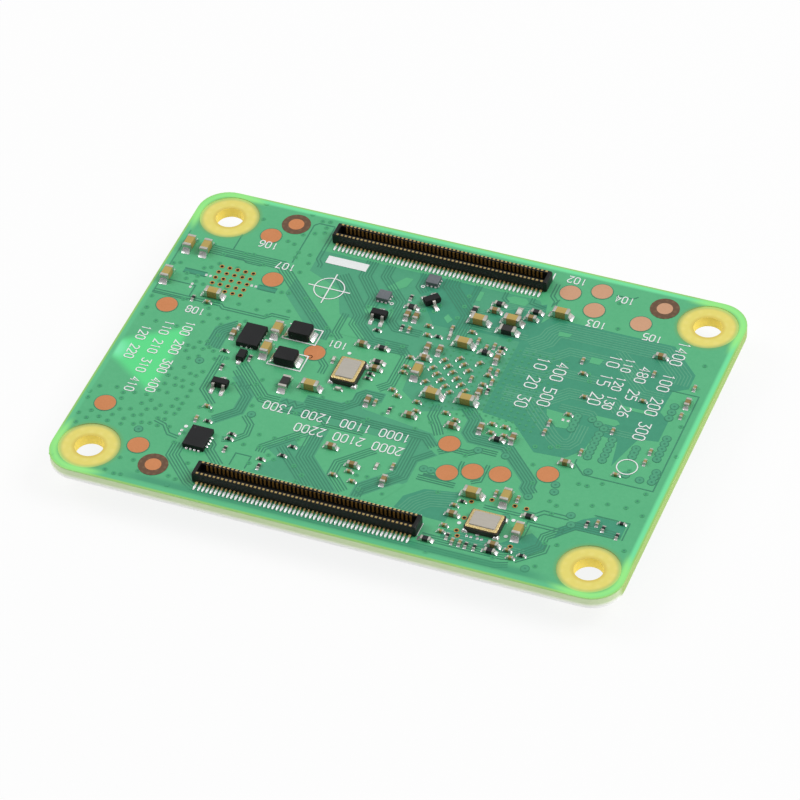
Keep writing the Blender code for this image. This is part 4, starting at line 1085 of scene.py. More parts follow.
# Single vias in the wide copper areas, those with a gap round them, and chains of such vias: the two
# ends and how many
LONE_VIAS: Path = (
    216, -61, 196, -68, 204, -68, 253, -72, 203, -93, 263, -88, 257, -61, 179, -97, 149, -58, 162, 136,
    254, 114, 259, 31, 259, -33, 262, -134, 246, -83, 229, -84, 139, -99, 76, -2, 92, -2, 60, 98, -120, -69,
    -99, -102, -124, -34, -81, -124,
)
RINGED_VIAS: Path = (
    177, -76, 179, -85, 203, -108, 199, -51, 232, -44, 246, -46, 207, -119, 159, -98, -189, -29, 187, -183,
    -116, -80, -206, -131, 149, -129, 122, -56, 96, -57,
)
VIA_CHAINS: tuple[tuple[Path, int], ...] = (
    ((192, -2, 192, -33), 6), ((206, -5, 206, -33), 5), ((180, 14, 194, 6), 3), ((252, 12, 252, -16), 5),
    ((257, -32, 257, -45), 3), ((230, -9, 230, -20), 3), ((166, 14, 166, -4), 4), ((58, -95, 72, -95), 3),
    ((245, 54, 245, 38), 3),
)
# Headers, niche and bed of capacitors, where no via is scattered: middle and half size
KEPT_CLEAR = (
    (-2.5, 17.0, 11.2, 2.2), (-2.5, -17.0, 11.2, 2.2), (-24.4, -3.9, 3.1, 4.4), (7.7, 3.0, 6.3, 5.6),
)
# Printed bar, outlines round components, corner marks at the headers' ends, and a plain cross
INK_BAR: Path = (-129.3, 144.3, -88.2, 144.3, -88.2, 133.9, -129.3, 133.9)
INK_RUNS: tuple[Path, ...] = (
    (-128.5, 44.5, -95.5, 44.5, -95.5, 24.2, -128.5, 24.2), (-128.5, 27.5, -128.5, 24.2),
    (-128.5, 8.2, -95.5, 8.2, -95.5, -12.8, -128.5, -12.8, -128.5, -9),
    (-144.9, 30, -144.9, 1.4, -163, 1.4), (81.8, 189, 81.8, 163.5, 79.5, 163.5),
    (82.4, -160, 82.4, -176, 80.5, -176), (-133, 101, -91, 101), (-112, 122, -112, 80),
)
# Pairs of bare pads for small chips that aren't fitted
BARE_PAIRS = (
    ((-22.9, 8.16), (-22.48, 8.16)), ((-18.28, 8.16), (-17.86, 8.16)), ((-23.69, 6.6), (-23.69, 6.15)),
    ((-16.8, -11.98), (-16.8, -12.47)), ((15.5, 0.5), (16.0, 0.5)), ((12.45, -16.2), (12.85, -16.2)),
    ((13.45, -16.2), (13.85, -16.2)),
)
INK_DOTS = ((11.25, -14.9), (15.7, -13.05), (15.75, -15.15), (13.3, -15.75), (-16.63, -11.39), (-6.13, 2.45))
# Printed rings: middle and outer radius
INK_RINGS: tuple[tuple[Spot, float], ...] = (
    ((-2.97, 13.20), 0.2), ((-4.88, 10.03), 0.2), ((-11.2, 10.1), 1.5), ((23.0, -3.4), 1.0),
)
# Plain counting numbers in the module's print: the first one and the step, then where the line starts,
# its length, the digits' height and the line's direction in degrees
NUMBERS: tuple[tuple[int, int, Path], ...] = (
    (1000, 100, (3.2, -5.9, 15, 1, 180)), (2000, 100, (3.2, -7.7, 11.8, 1, 180)),
    (100, 100, (-22.1, 1.6, 11.6, 0.88, -90)), (110, 100, (-24, 1.1, 9.9, 0.88, -90)),
    (120, 100, (-25.8, -0.2, 6.6, 0.88, -90)), (10, 10, (10.6, 7.6, 7.7, 1.15, -90)),
    (400, 100, (12.5, 7.5, 7.2, 1.15, -90)), (10, 5, (16.8, 10, 8.1, 1.15, -90)),
    (110, 10, (18.3, 10, 8, 0.85, -90)), (480, 1, (19.9, 9.4, 2.4, 1, -90)),
    (25, 1, (19.9, 6.2, 4.2, 1, -90)), (1400, 1, (22.2, 13.7, 3.6, 1.1, -90)),
    (100, 100, (22.2, 9.2, 10.4, 1.1, -90)), (101, 1, (-6.7, 3.6, 2.1, 0.85, 180)),
    (102, 1, (11.3, 19, 2.1, 0.85, 180)), (103, 1, (15, 13.9, 2.1, 0.85, 180)),
    (104, 1, (16.4, 17.9, 2.1, 0.85, 180)), (105, 1, (20.5, 13.8, 2.1, 0.85, 180)),
    (106, 1, (-18.1, 14.4, 2.1, 0.85, 180)), (107, 1, (-15.4, 12.1, 2.1, 0.85, 180)),
    (108, 1, (-21.1, 3.7, 2.1, 0.85, 180)),
)
# The stroke of each digit on a grid of four by six: x, y, x, y and so on
DIGITS: tuple[Path, ...] = (
    (1, 0, 0, 1, 0, 5, 1, 6, 3, 6, 4, 5, 4, 1, 3, 0, 1, 0), (1, 5, 2, 6, 2, 0),
    (0, 5, 1, 6, 3, 6, 4, 5, 4, 4, 0, 0, 4, 0), (0, 6, 4, 6, 2, 3.6, 4, 2.4, 4, 1, 3, 0, 1, 0, 0, 1),
    (3, 0, 3, 6, 0, 2, 4, 2), (4, 6, 0, 6, 0, 3.5, 3, 3.5, 4, 2.5, 4, 1, 3, 0, 0, 0),
    (4, 6, 2, 6, 0, 3.5, 0, 1, 1, 0, 3, 0, 4, 1, 4, 2.5, 3, 3.4, 0, 3), (0, 6, 4, 6, 1.5, 0),
    (1, 3.2, 0, 4.2, 0, 5, 1, 6, 3, 6, 4, 5, 4, 4.2, 3, 3.2, 1, 3.2, 0, 2.2, 0, 1, 1, 0, 3, 0, 4, 1,
     4, 2.2, 3, 3.2), (4, 3, 1, 3, 0, 4, 0, 5, 1, 6, 3, 6, 4, 5, 4, 2.5, 2, 0, 0, 0),
)


@dataclass
class BoardArtwork:
    """What shows of the copper under the mask, the bare pads, and the print on top of it.

    Each layer has its height over the board's face, and what may overlap in one layer lies a step
    apart. The radii of rings and discs go from the outside in. A digit's cell and advance are shares
    of its height.
    """

    bundle_height: float = 0.002
    field_height: float = 0.004
    track_height: float = 0.009
    island_height: float = 0.0147
    gap_height: float = 0.015
    dot_height: float = 0.022
    pad_height: float = 0.027
    ink_height: float = 0.032
    ink_ring_height: float = 0.039
    fine_step: float = 0.0002
    step: float = 0.0005
    over: float = 0.002
    gap_width: float = 0.115
    track_width: float = 0.12
    ink_width: float = 0.13
    ring_width: float = 0.11
    digit_width: float = 0.115
    digit_cell: Spot = (0.13, 1 / 6)
    digit_advance: float = 0.76
    dot_radii: Spot = (0.24, 0.11)
    ringed_radii: Triple = (0.43, 0.35, 0.12)
    pad_radii: Triple = (1.08, 1.0, 0.98)
    mark_radii: Spot = (1.4, 0.76)
    open_radii: Triple = (0.24, 0.18, 0.155)
    ink_dot: float = 0.19
    thermal: Spot = (-20.36, 8.15)
    thermal_pitch: float = 0.8
    bed_share: float = 0.55
    apart: float = 0.6
    pad_room: float = 1.5
    hole_room: float = 3.2
    seed: int = 7

    def add_runs(self, surface: Surface, runs: Runs, width: float, height: float) -> None:
        """Adds side-by-side ribbons for each run.

        Args:
            surface: The surface that gets them.
            runs: Path, count and pitch of each run.
            width: Width of one ribbon.
            height: Height over the board's face.
        """
        for order, (path, count, pitch) in enumerate(runs):
            level = BOARD_TOP + height + self.step * (order % 12)
            for number in range(count):
                surface.add_grid(ribbon(beside(from_tenths(path), number * pitch), width, level))

    def add_area(self, surface: Surface, outline: Path, height: float, slot: int = 0) -> None:
        """Adds a flat area with one face.

        Args:
            surface: The surface that gets it.
            outline: The area's outline in tenths of a millimetre.
            height: Height over the board's face.
            slot: The finish.
        """
        points = from_tenths(outline)
        flat = np.column_stack([points, np.full(len(points), BOARD_TOP + height)])
        surface.add_faces(flat, np.arange(len(flat))[None], slot)

    def add_discs(
        self, surface: Surface, spots: Sequence[Spot] | Array, radius: float, height: float, slot: int = 0,
        hole: float = 0.0, steps: int = 24, side: Side = Side.UPPER,
    ) -> None:
        """Adds flat discs, or rings round a hole.

        Args:
            surface: The surface that gets them.
            spots: The middles.
            radius: Outer radius.
            height: Height over the board's face.
            slot: The finish.
            hole: Radius of the hole, if it is a ring.
            steps: Points to a turn.
            side: The face of the board.
        """
        inner = max(hole, radius * 0.02)
        disc = turned(((radius, height), (inner, height)), steps)
        surface.add_grid(placed(disc, spots, side=side), slot, around=True)
        if not hole:
            middles = placed(disc[1:], spots, side=side)[:, 0]
            count = len(middles)
            surface.add_faces(middles, np.arange(count * steps).reshape(count, steps), slot)

    def via_spots(self) -> Array:
        """Filled vias: the lone ones, four close columns beside the antenna, and a seeded scatter.

        Each place is moved by seeded noise. Those too close to an earlier one, or on pads, rings,
        headers, the bare niche and the bed of capacitors, are left out.

        Returns:
            The places, one row each.
        """
        maker = np.random.default_rng(self.seed)
        columns = crossings((-20.9, -20.0, -19.1, -18.2), np.arange(-0.4, -13.0, -0.9))
        wide = crossings(np.arange(-26.6, 26.8, 1.0), np.arange(-18.9, 19.2, 1.0))
        columns += maker.uniform(-0.25, 0.25, columns.shape)
        wide += maker.uniform(-0.35, 0.35, wide.shape)
        low_left = (wide[:, 0] < -21.5) & (wide[:, 1] < -8.4)
        chance = np.select([low_left, wide[:, 0] < -14.5, wide[:, 0] > 12.0], [0.85, 0.32, 0.05], 0.12)
        wide = wide[maker.uniform(size=len(wide)) < chance]
        columns = columns[maker.uniform(size=len(columns)) < 0.8]
        spots = np.concatenate([from_tenths(LONE_VIAS), columns, wide])
        clear = clear_of(spots, np.array([*TEST_PADS, *PALE_TEST_PADS, *FIDUCIALS]), self.pad_room)
        clear &= clear_of(spots, HOLES, self.hole_room)
        for x, y, reach_x, reach_y in KEPT_CLEAR:
            clear &= (np.abs(spots[:, 0] - x) >= reach_x) | (np.abs(spots[:, 1] - y) >= reach_y)
        taken = [*from_tenths(RINGED_VIAS)]
        ringed = len(taken)
        for spot in spots[clear]:
            if all(np.hypot(*(spot - other)) > self.apart for other in taken):
                taken.append(spot)
        return np.array(taken[ringed:])

    def add_vias(self, surface: Surface, spots: Sequence[Spot] | Array, size: float = 1.0) -> None:
        """Adds soft dark dots where the mask sinks into filled vias: a wide faint disc under a small one.

        Args:
            surface: The surface, with the faint finish in slot 1 and the dark one in slot 0.
            spots: The middles.
            size: Size of the dots as a share of the usual one.
        """
        wide, small = self.dot_radii
        self.add_discs(surface, spots, wide * size, self.dot_height, 1, steps=10)
        self.add_discs(surface, spots, small * size, self.dot_height + self.over, steps=8)

    def build_copper(self) -> None:
        """Builds the fields, tracks, gaps and filled vias that show through the mask."""
        fields = Surface()
        for order, outline in enumerate(TRACK_FIELDS):
            self.add_area(fields, outline, self.bundle_height + self.fine_step * order, 1)
        for order, outline in enumerate(DARK_FIELDS):
            self.add_area(fields, outline, self.field_height + self.step * order)
        fields.build_layer("laminate_fields", MASK_ON_LAMINATE, MASK_OVER_BUNDLES)
        lines = Surface()
        self.add_runs(lines, TRACK_RUNS, self.track_width, self.track_height)
        for outline in COPPER_ISLANDS:
            self.add_area(lines, outline, self.island_height, 1)
        lines.build_layer("masked_tracks", MASK_TRACK, MASK)
        gaps = Surface()
        self.add_runs(gaps, GAP_RUNS, self.gap_width, self.gap_height)
        chained = [np.linspace(*from_tenths(ends), count) for ends, count in VIA_CHAINS]
        ringed = np.concatenate([from_tenths(RINGED_VIAS), *chained])
        outer, inner, middle = self.ringed_radii
        for order in range(4):
            level = self.dot_height + self.step * order
            self.add_discs(gaps, ringed[order::4], outer, level, steps=14)
            self.add_discs(gaps, ringed[order::4], inner, level + self.over, 2, steps=14)
        self.add_discs(gaps, ringed, middle, self.dot_height + 2.1 * self.over, steps=8)
        self.add_vias(gaps, self.via_spots())
        bed = crossings(2.2 + BALL_PITCH * np.arange(18), -1.9 + BALL_PITCH * np.arange(16))
        self.add_vias(gaps, bed, self.bed_share)
        gaps.build_layer("masked_gaps_and_vias", MASK_GAP, MASK_HOLLOW, MASK_OVER_BUNDLES)

    def build_pads(self) -> None:
        """Builds the bare copper test pads, registration marks and open vias."""
        pads = Surface()
        gap, pad, gap_hole = self.pad_radii
        ring, copper = self.mark_radii
        rim, well, well_hole = self.open_radii
        self.add_discs(pads, TEST_PADS, pad, self.pad_height)
        self.add_discs(pads, PALE_TEST_PADS, pad, self.pad_height, 1)
        self.add_discs(pads, FIDUCIALS, ring, self.pad_height, 2)
        self.add_discs(pads, FIDUCIALS[::2], copper, self.pad_height + 2 * self.over)
        self.add_discs(pads, FIDUCIALS[1:2], copper, self.pad_height + 2 * self.over, 1)
        self.add_discs(pads, [*TEST_PADS, *PALE_TEST_PADS], gap, self.dot_height, 4, hole=gap_hole)
        grid = (np.arange(5) - 2) * self.thermal_pitch
        thermal = crossings(self.thermal[0] + grid, self.thermal[1] + grid)
        open_vias = np.concatenate([thermal, OPEN_VIAS])
        self.add_discs(pads, open_vias, rim, self.pad_height, 5, hole=well_hole, steps=16)
        # Painted shade: an almost black disc inside each rim stands for the dark hole
        self.add_discs(pads, open_vias, well, self.pad_height - self.over, 3, steps=12)
        pads.build_layer("bare_copper_pads", COPPER, COPPER_PALE, RESIN_RING, HOLE_SHADE, MASK_GAP, COPPER_RIM)

    def build_ink(self) -> None:
        """Builds the printed outlines, marks and plain numbers, and the tinned bare pads."""
        ink = Surface()
        self.add_area(ink, INK_BAR, self.ink_height)
        self.add_runs(ink, tuple((path, 1, 0.0) for path in INK_RUNS), self.ink_width, self.ink_height)
        self.add_discs(ink, INK_DOTS, self.ink_dot, self.ink_height, steps=14)
        for spot, radius in INK_RINGS:
            steps, hole = 14 if radius < 1 else 36, radius - self.ring_width
            self.add_discs(ink, [spot], radius, self.ink_ring_height, hole=hole, steps=steps)
        for first, step, line in NUMBERS:
            self.add_numbers(ink, first, step, line)
        ink.build_layer("printed_marks", INK)
        bare = Surface()
        pad = block(0.26, 0.3, ((0.0, 0.0, 0.04), (0.03, 0.02, 0.04), (0.05, 0.12, 0.04)))
        for pair in BARE_PAIRS:
            bare.add_solids(pad, pair, gap=0.006)
        bare.build("tinned_bare_pads", (SOLDER,), ("pcb",), "board")

    def add_numbers(self, surface: Surface, first: int, step: int, line: Path) -> None:
        """Prints counting numbers, with a gap between two, until the line is full.

        A digit's stroke lies on a grid of four by six. It is scaled to the height, moved along the
        line and turned about its start.

        Args:
            surface: The surface that gets them.
            first: The first number.
            step: What is added for the next one.
            line: The first digit's foot as x and y, the line's length, the digits' height and the
                line's direction in degrees.
        """
        x, y, length, height, turn = line
        advance = self.digit_advance * height
        places = int(length / advance + 0.5)
        row = ""
        value = first
        while len(row) + len(str(value)) <= places:
            row += f"{value} "
            value += step
        angle = math.radians(turn)
        basis = np.array([[math.cos(angle), math.sin(angle)], [-math.sin(angle), math.cos(angle)]])
        for number, digit in enumerate(row):
            if digit != " ":
                stroke = np.array(DIGITS[int(digit)], float).reshape(-1, 2) * self.digit_cell * height
                path = (stroke + (number * advance, 0)) @ basis + (x, y)
                surface.add_grid(ribbon(path, self.digit_width, BOARD_TOP + self.ink_height))

    def build(self) -> None:
        """Builds every layer of the artwork."""
        self.build_copper()
        self.build_pads()
        self.build_ink()


@dataclass
class StackingHeader:
    """One board-to-board header: a moulded trough with 50 formed contacts on each long wall.

    Attributes:
        name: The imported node's name.
        centre: The header's middle on the board.
        tail_reach: How far a contact's tail and its solder run out past the trough.
    """

    name: str
    centre: Spot
    length: float = 21.6
    depth: float = 1.78
    height: float = 1.11
    wall: float = 0.38
    floor: float = 0.28
    contacts: int = 50
    pitch: float = 0.4
    contact_width: float = 0.2
    tail_width: float = 0.16
    tail_reach: Spot = (0.6, 0.95)
    fitting_offset: float = 0.45
    fitting_width: float = 0.22

    def contact_places(self) -> Array:
        """Where the contacts stand along the header, about its middle."""
        return (np.arange(self.contacts) - (self.contacts - 1) / 2) * self.pitch

    def fitting_places(self) -> Array:
        """Where the two end fittings stand along the header, about its middle."""
        end = (self.contacts - 1) * self.pitch / 2 + self.fitting_offset
        return np.array([-end, end])

    def along(self, shape: Array, places: Array) -> Array:
        """Copies a shape to both walls at each place along the header.

        Args:
            shape: The shape for the wall on the +Y side.
            places: Places along the header.

        Returns:
            The copies.
        """
        spots = np.column_stack([places + self.centre[0], np.full(len(places), self.centre[1])])
        return np.concatenate([placed(shape, spots, turn, gap=SOLDER_GAP) for turn in (0.0, 180.0)])

    def build_housing(self) -> None:
        """Lofts the trough from its foot up the wall, over the crest and down to the floor inside."""
        length, depth, wall, height = self.length, self.depth, self.wall, self.height
        inner_length, inner_depth = length - 2 * (wall + 0.02), depth - 2 * wall
        levels = (
            (0.0, length - 0.1, depth - 0.1, 0.08), (0.05, length, depth, 0.12),
            (height - 0.16, length, depth, 0.12), (height - 0.14, length - 0.06, depth - 0.05, 0.12),
            (height - 0.03, length - 0.12, depth - 0.07, 0.12), (height, length - 0.2, depth - 0.14, 0.1),
            (height, inner_length + 0.1, inner_depth + 0.1, 0.1),
            (height - 0.06, inner_length, inner_depth, 0.06), (self.floor, inner_length, inner_depth, 0.06),
        )
        housing = Surface()
        housing.add_solids(tower(levels, 4), [self.centre], gap=SOLDER_GAP)
        between = self.contact_places()[:-1] + self.pitch / 2
        room = self.pitch - self.contact_width
        rib = plate(((0.86, 0.2), (0.885, 0.22), (0.885, 0.9), (0.86, 0.92)), room - 0.06)
        divider = plate(((0.45, 0.3), (0.53, 0.3), (0.53, 1.06), (0.49, 1.06)), room - 0.04)
        for shape in (rib, divider):
            housing.add_grid(self.along(shape, between), around=True, caps=True)
        housing.build(self.name + "_housing", (POLYMER,), (self.name,), "header")

    def build_contacts(self) -> None:
        """Forms the crests, the shanks in the trough and the tails that leave the walls' feet."""
        outer, inner, top, end = self.depth / 2, self.depth / 2 - self.wall, self.height, self.tail_reach[0]
        crest = (
            (outer - 0.06, top - 0.12), (outer - 0.05, top - 0.01), (outer - 0.09, top + 0.03),
            (outer - 0.14, top + 0.04), (outer - 0.21, top + 0.04), (outer - 0.27, top + 0.01),
            (outer - 0.28, top - 0.12),
        )
        shank = (
            (outer - 0.27, top - 0.02), (inner - 0.02, top - 0.1), (inner - 0.04, 0.75), (inner - 0.02, 0.3),
            (inner + 0.03, 0.3), (inner + 0.03, top - 0.14), (outer - 0.27, top - 0.12),
        )
        tail = (
            (outer - 0.08, 0.17), (outer + 0.05, 0.16), (outer + 0.14, 0.11), (outer + 0.26, 0.07),
            (outer + end, 0.045), (outer + end, 0.0), (outer + 0.28, 0.0), (outer + 0.08, 0.07),
            (outer - 0.08, 0.08),
        )
        metal = Surface()
        places, fitting = self.contact_places(), self.fitting_places()
        for outline, width, where, slot in (
            (crest, self.contact_width, places, 0), (shank, self.contact_width - 0.02, places, 1),
            (tail, self.tail_width, places, 2), (crest, self.fitting_width, fitting, 0),
            (tail, self.fitting_width, fitting, 0),
        ):
            metal.add_grid(self.along(plate(outline, width), where), slot, around=True, caps=True)
        metal.build(self.name + "_contacts", (GILT, GILT_DEEP, GILT_TAIL), (self.name,), "header")
        self.build_joints(np.concatenate([places, fitting]))

    def build_joints(self, places: Array) -> None:
        """Adds the solder over each tail: a drop that is widest near its outer end.

        The drop's width follows a half sine along its length, and its height falls off with it.

        Args:
            places: Where the tails stand along the header.
        """
        run = np.linspace(0.0, 1.0, 7)
        width = 0.1 + 0.15 * np.sin(np.pi * np.clip(run * 0.85 + 0.12, 0, 1))
        height = 0.06 + 0.1 * np.sin(np.pi * np.clip(run * 0.8 + 0.15, 0, 1))
        sections = [(0.0, w, 0.0, h, min(w, h) * 0.42) for w, h in zip(width, height)]
        drop = bar(sections, 3)
        start, end = 0.27, self.tail_reach[1]
        reach = np.broadcast_to((self.depth / 2 + start + run * (end - start))[:, None], drop.shape[:2])
        drop = np.stack([drop[..., 1], reach, drop[..., 2] - 0.03], axis=-1)
        joints = Surface()
        joints.add_grid(self.along(drop, places), around=True, caps=True)
        joints.build(self.name + "_solder", (SOLDER_PAINTED_SHEEN,), (self.name,), "header")


@dataclass(frozen=True)
class ChipPassive:
    """One case size of chip capacitor or resistor: a block between two plated end caps.

    Attributes:
        length: Length over the end caps.
        width: Width over the end caps.
        height: Height over the end caps.
        cap: Length of an end cap.
        foot: Where the end cap stands over the board.
        spread: How far the solder runs out past each end.
    """

    length: float
    width: float
    height: float
    cap: float
    foot: float = 0.0
    spread: float = 0.2

    def body(self) -> Array:
        """The block, lofted along its length, with softened ends and a small step at each cap."""
        half, width, top = self.length / 2, self.width, self.height
        soft, step, low = 0.06 * width + 0.01, 0.02, 0.005
        full = (width, low, top, soft)
        blunt = (width - 1.6 * soft, low + soft, top - soft, 1.5 * soft)
        ceramic = (width - 2 * step, low + step, top - step, 0.6 * soft)
        inner = half - self.cap
        sections = [(half, blunt), (half - soft, full), (inner + 0.01, full), (inner, ceramic)]
        rows = [(-x, *section) for x, section in sections] + [(x, *section) for x, section in sections[::-1]]
        return bar(rows, 3 if self.length > 1.2 else 2)

    def fillet(self) -> Array:
        """The solder at the +X end: a hollow slope from the end cap down to the pad.

        The height falls as the square of the distance still to go, and the width grows a little.

        Returns:
            A closed-row grid along X.
        """
        run = np.linspace(-0.3, 1.0, 6)
        out = np.clip(run, 0, 1)
        height = 0.03 + 0.62 * self.height * (1 - out) ** 2
        width = self.width * (0.9 + 0.28 * out - 0.3 * out**4)
        x = self.length / 2 + run * self.spread
        radius = np.minimum(height, width) * 0.35
        return bar(np.stack([x, width, np.zeros(6), height, radius], axis=1), 3)

    def add(
        self, surface: Surface, spots: Sequence[Spot] | Array, turn: float, ceramic: int = 1,
        side: Side = Side.UPPER,
    ) -> None:
        """Adds soldered chips at some places.

        Args:
            surface: The surface that gets them, with tin in slot 0.
            spots: The places.
            turn: Their turn in degrees.
            ceramic: The slot of the block's own finish. Solder has the last slot, which is 4.
            side: The face of the board.
        """
        slots = [0, 0, 0, ceramic, 0, 0, 0]
        surface.add_solids(self.body(), spots, turn, side, self.foot, slot=slots)
        slope = self.fillet()
        for extra in (0.0, 180.0):
            surface.add_solids(slope, spots, turn + extra, side, slot=4)


PASSIVE_FINISHES = (TIN, CERAMIC_TAN, CERAMIC_BROWN, CERAMIC_WHITE, SOLDER, RESISTOR_GLAZE, CERAMIC_SAND)


@dataclass
class SmallPassives:
    """The chips of 1 mm and less, which are one body with the board in the source."""

    small_capacitor: ChipPassive = ChipPassive(0.6, 0.3, 0.3, 0.17, spread=0.16)
    small_resistor: ChipPassive = ChipPassive(0.6, 0.3, 0.23, 0.15, spread=0.16)
    medium_capacitor: ChipPassive = ChipPassive(1.0, 0.5, 0.5, 0.27, spread=0.26)
    medium_resistor: ChipPassive = ChipPassive(1.0, 0.5, 0.35, 0.24, spread=0.28)

    def build_upper(self) -> None:
        """Builds the chips on the face with the headers."""
        capacitors = Surface()
        self.small_capacitor.add(capacitors, SMALL_CAPACITORS_ALONG, 0, 6)
        self.small_capacitor.add(capacitors, SMALL_CAPACITORS_ACROSS, 90, 6)
        self.small_capacitor.add(capacitors, lattice(), 45, 6)
        for x, y, turn in WHITE_CAPACITORS:
            self.small_capacitor.add(capacitors, [(x, y)], turn, 3)
        self.medium_capacitor.add(capacitors, MEDIUM_CAPACITORS_ALONG, 0, 2)
        self.medium_capacitor.add(capacitors, MEDIUM_CAPACITORS_ACROSS, 90, 2)
        capacitors.build("small_capacitors_upper", PASSIVE_FINISHES, ("pcb",), "capacitor")
        resistors = Surface()
        self.small_resistor.add(resistors, SMALL_RESISTORS_ALONG, 0, 5)
        self.small_resistor.add(resistors, SMALL_RESISTORS_ACROSS, 90, 5)
        self.medium_resistor.add(resistors, MEDIUM_RESISTORS_ALONG, 0, 5)
        self.medium_resistor.add(resistors, MEDIUM_RESISTORS_ACROSS, 90, 5)
        for chip, (x, y, turn) in (
            (self.small_resistor, PALE_SMALL_RESISTOR), (self.medium_resistor, PALE_MEDIUM_RESISTOR),
        ):
            chip.add(resistors, [(x, y)], turn, 3)
        resistors.build("small_resistors_upper", PASSIVE_FINISHES, ("pcb",), "chip")

    def build_lower(self) -> None:
        """Builds the rows of chips beside the processor, memory, flash and network chips."""
        lower = Surface()
        for chip, spot, reach, side, count, turn, ceramic in (
            (self.medium_capacitor, PROCESSOR, (15, 15), (0, 1), 10, 90, 2),
            (self.medium_capacitor, PROCESSOR, (15, 15), (-1, 0), 8, 0, 2),
            (self.small_capacitor, MEMORY, (10, 14.5), (1, 0), 8, 0, 6),
            (self.small_capacitor, FLASH, (13, 11.5), (1, 0), 6, 0, 6),
            (self.small_resistor, NETWORK, (7, 7), (1, 0), 5, 0, 5),
        ):
            chip.add(lower, row_beside(spot, reach, side, count), turn, ceramic, Side.LOWER)
        lower.build("small_passives_lower", PASSIVE_FINISHES, ("pcb",), "capacitor")

    def build(self) -> None:
        """Builds both faces."""
        self.build_upper()
        self.build_lower()


@dataclass
class LargePassives:
    """The chip capacitors and ferrite beads that are nodes of their own."""

    large: ChipPassive = ChipPassive(1.6, 0.8, 0.8, 0.32, SOLDER_GAP, 0.4)
    bead: ChipPassive = ChipPassive(1.6, 0.8, 0.62, 0.3, SOLDER_GAP, 0.4)
    bulk: ChipPassive = ChipPassive(2.0, 1.25, 1.25, 0.42, SOLDER_GAP, 0.4)

    def build(self) -> None:
        """Builds one piece for each node."""
        for number, (x, y, turn) in enumerate(LARGE_CAPACITORS, 1):
            chip = Surface()
            self.large.add(chip, [(x, y)], turn)
            node = f"capacitor_{number:02d}"
            chip.build("chip_" + node, PASSIVE_FINISHES, (node,), "capacitor")
        for number, (x, y, turn) in enumerate(BEADS, 1):
            chip = Surface()
            self.bead.add(chip, [(x, y)], turn)
            finishes = (TIN, FERRITE, CERAMIC_BROWN, CERAMIC_WHITE, SOLDER)
            chip.build(f"chip_bead_{number}", finishes, (f"ferrite_bead_{number}",), "ferrite")
        for number, spot in enumerate(BULK_CAPACITORS, 1):
            chip = Surface()
            self.bulk.add(chip, [spot], 90, 2, Side.LOWER)
            chip.build(f"chip_bulk_{number}", PASSIVE_FINISHES, (f"bulk_capacitor_{number}",), "capacitor")


@dataclass
class PowerInductor:
    """A moulded inductor: a pressed block with a flat terminal wrapped under each end."""

    length: float = 2.05
    width: float = 1.65
    height: float = 0.93
    corner: float = 0.2
    proud: float = 0.12

    def build(self, name: str, node: str, spot: Spot, side: Side) -> None:
        """Builds the block, its terminals and their solder.

        The solder's height falls as the square of the distance still to go.

        Args:
            name: The piece's name.
            node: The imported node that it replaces.
            spot: The inductor's middle.
            side: The face of the board.
        """
        width, height, corner, half = self.width, self.height, self.corner, self.length / 2
        surface = Surface()
        surface.add_solids(block(self.length, width, (
            (0.0, 0.1, corner), (0.05, 0.0, corner), (height - 0.1, 0.0, corner),
            (height - 0.03, 0.06, corner * 0.9), (height, 0.16, corner * 0.8),
        ), 5), [spot], 0, side, SOLDER_GAP)
        outer, strip = half + self.proud, width * 0.7
        terminal = bar((
            (half - 0.3, strip, 0.0, 0.1, 0.02), (half - 0.01, strip, 0.0, 0.1, 0.02),
            (half - 0.005, strip, 0.0, 0.5, 0.03), (outer - 0.04, strip, 0.0, 0.5, 0.03),
            (outer, width * 0.66, 0.02, 0.46, 0.04),
        ), 3)
        run = np.linspace(0.0, 1.0, 6)
        rise = 0.04 + 0.36 * (1 - run) ** 2
        wide = width * (0.72 + 0.16 * run - 0.2 * run**4)
        slope = bar(np.stack([outer - 0.06 + run * 0.42, wide, np.zeros(6), rise, rise * 0.4], axis=1), 3)
        for turn in (0.0, 180.0):
            surface.add_solids(terminal, [spot], turn, side, SOLDER_GAP, slot=1)
            surface.add_solids(slope, [spot], turn, side, slot=2)
        surface.build(name, (IRON_POWDER, TIN, SOLDER), (node,), "inductor")


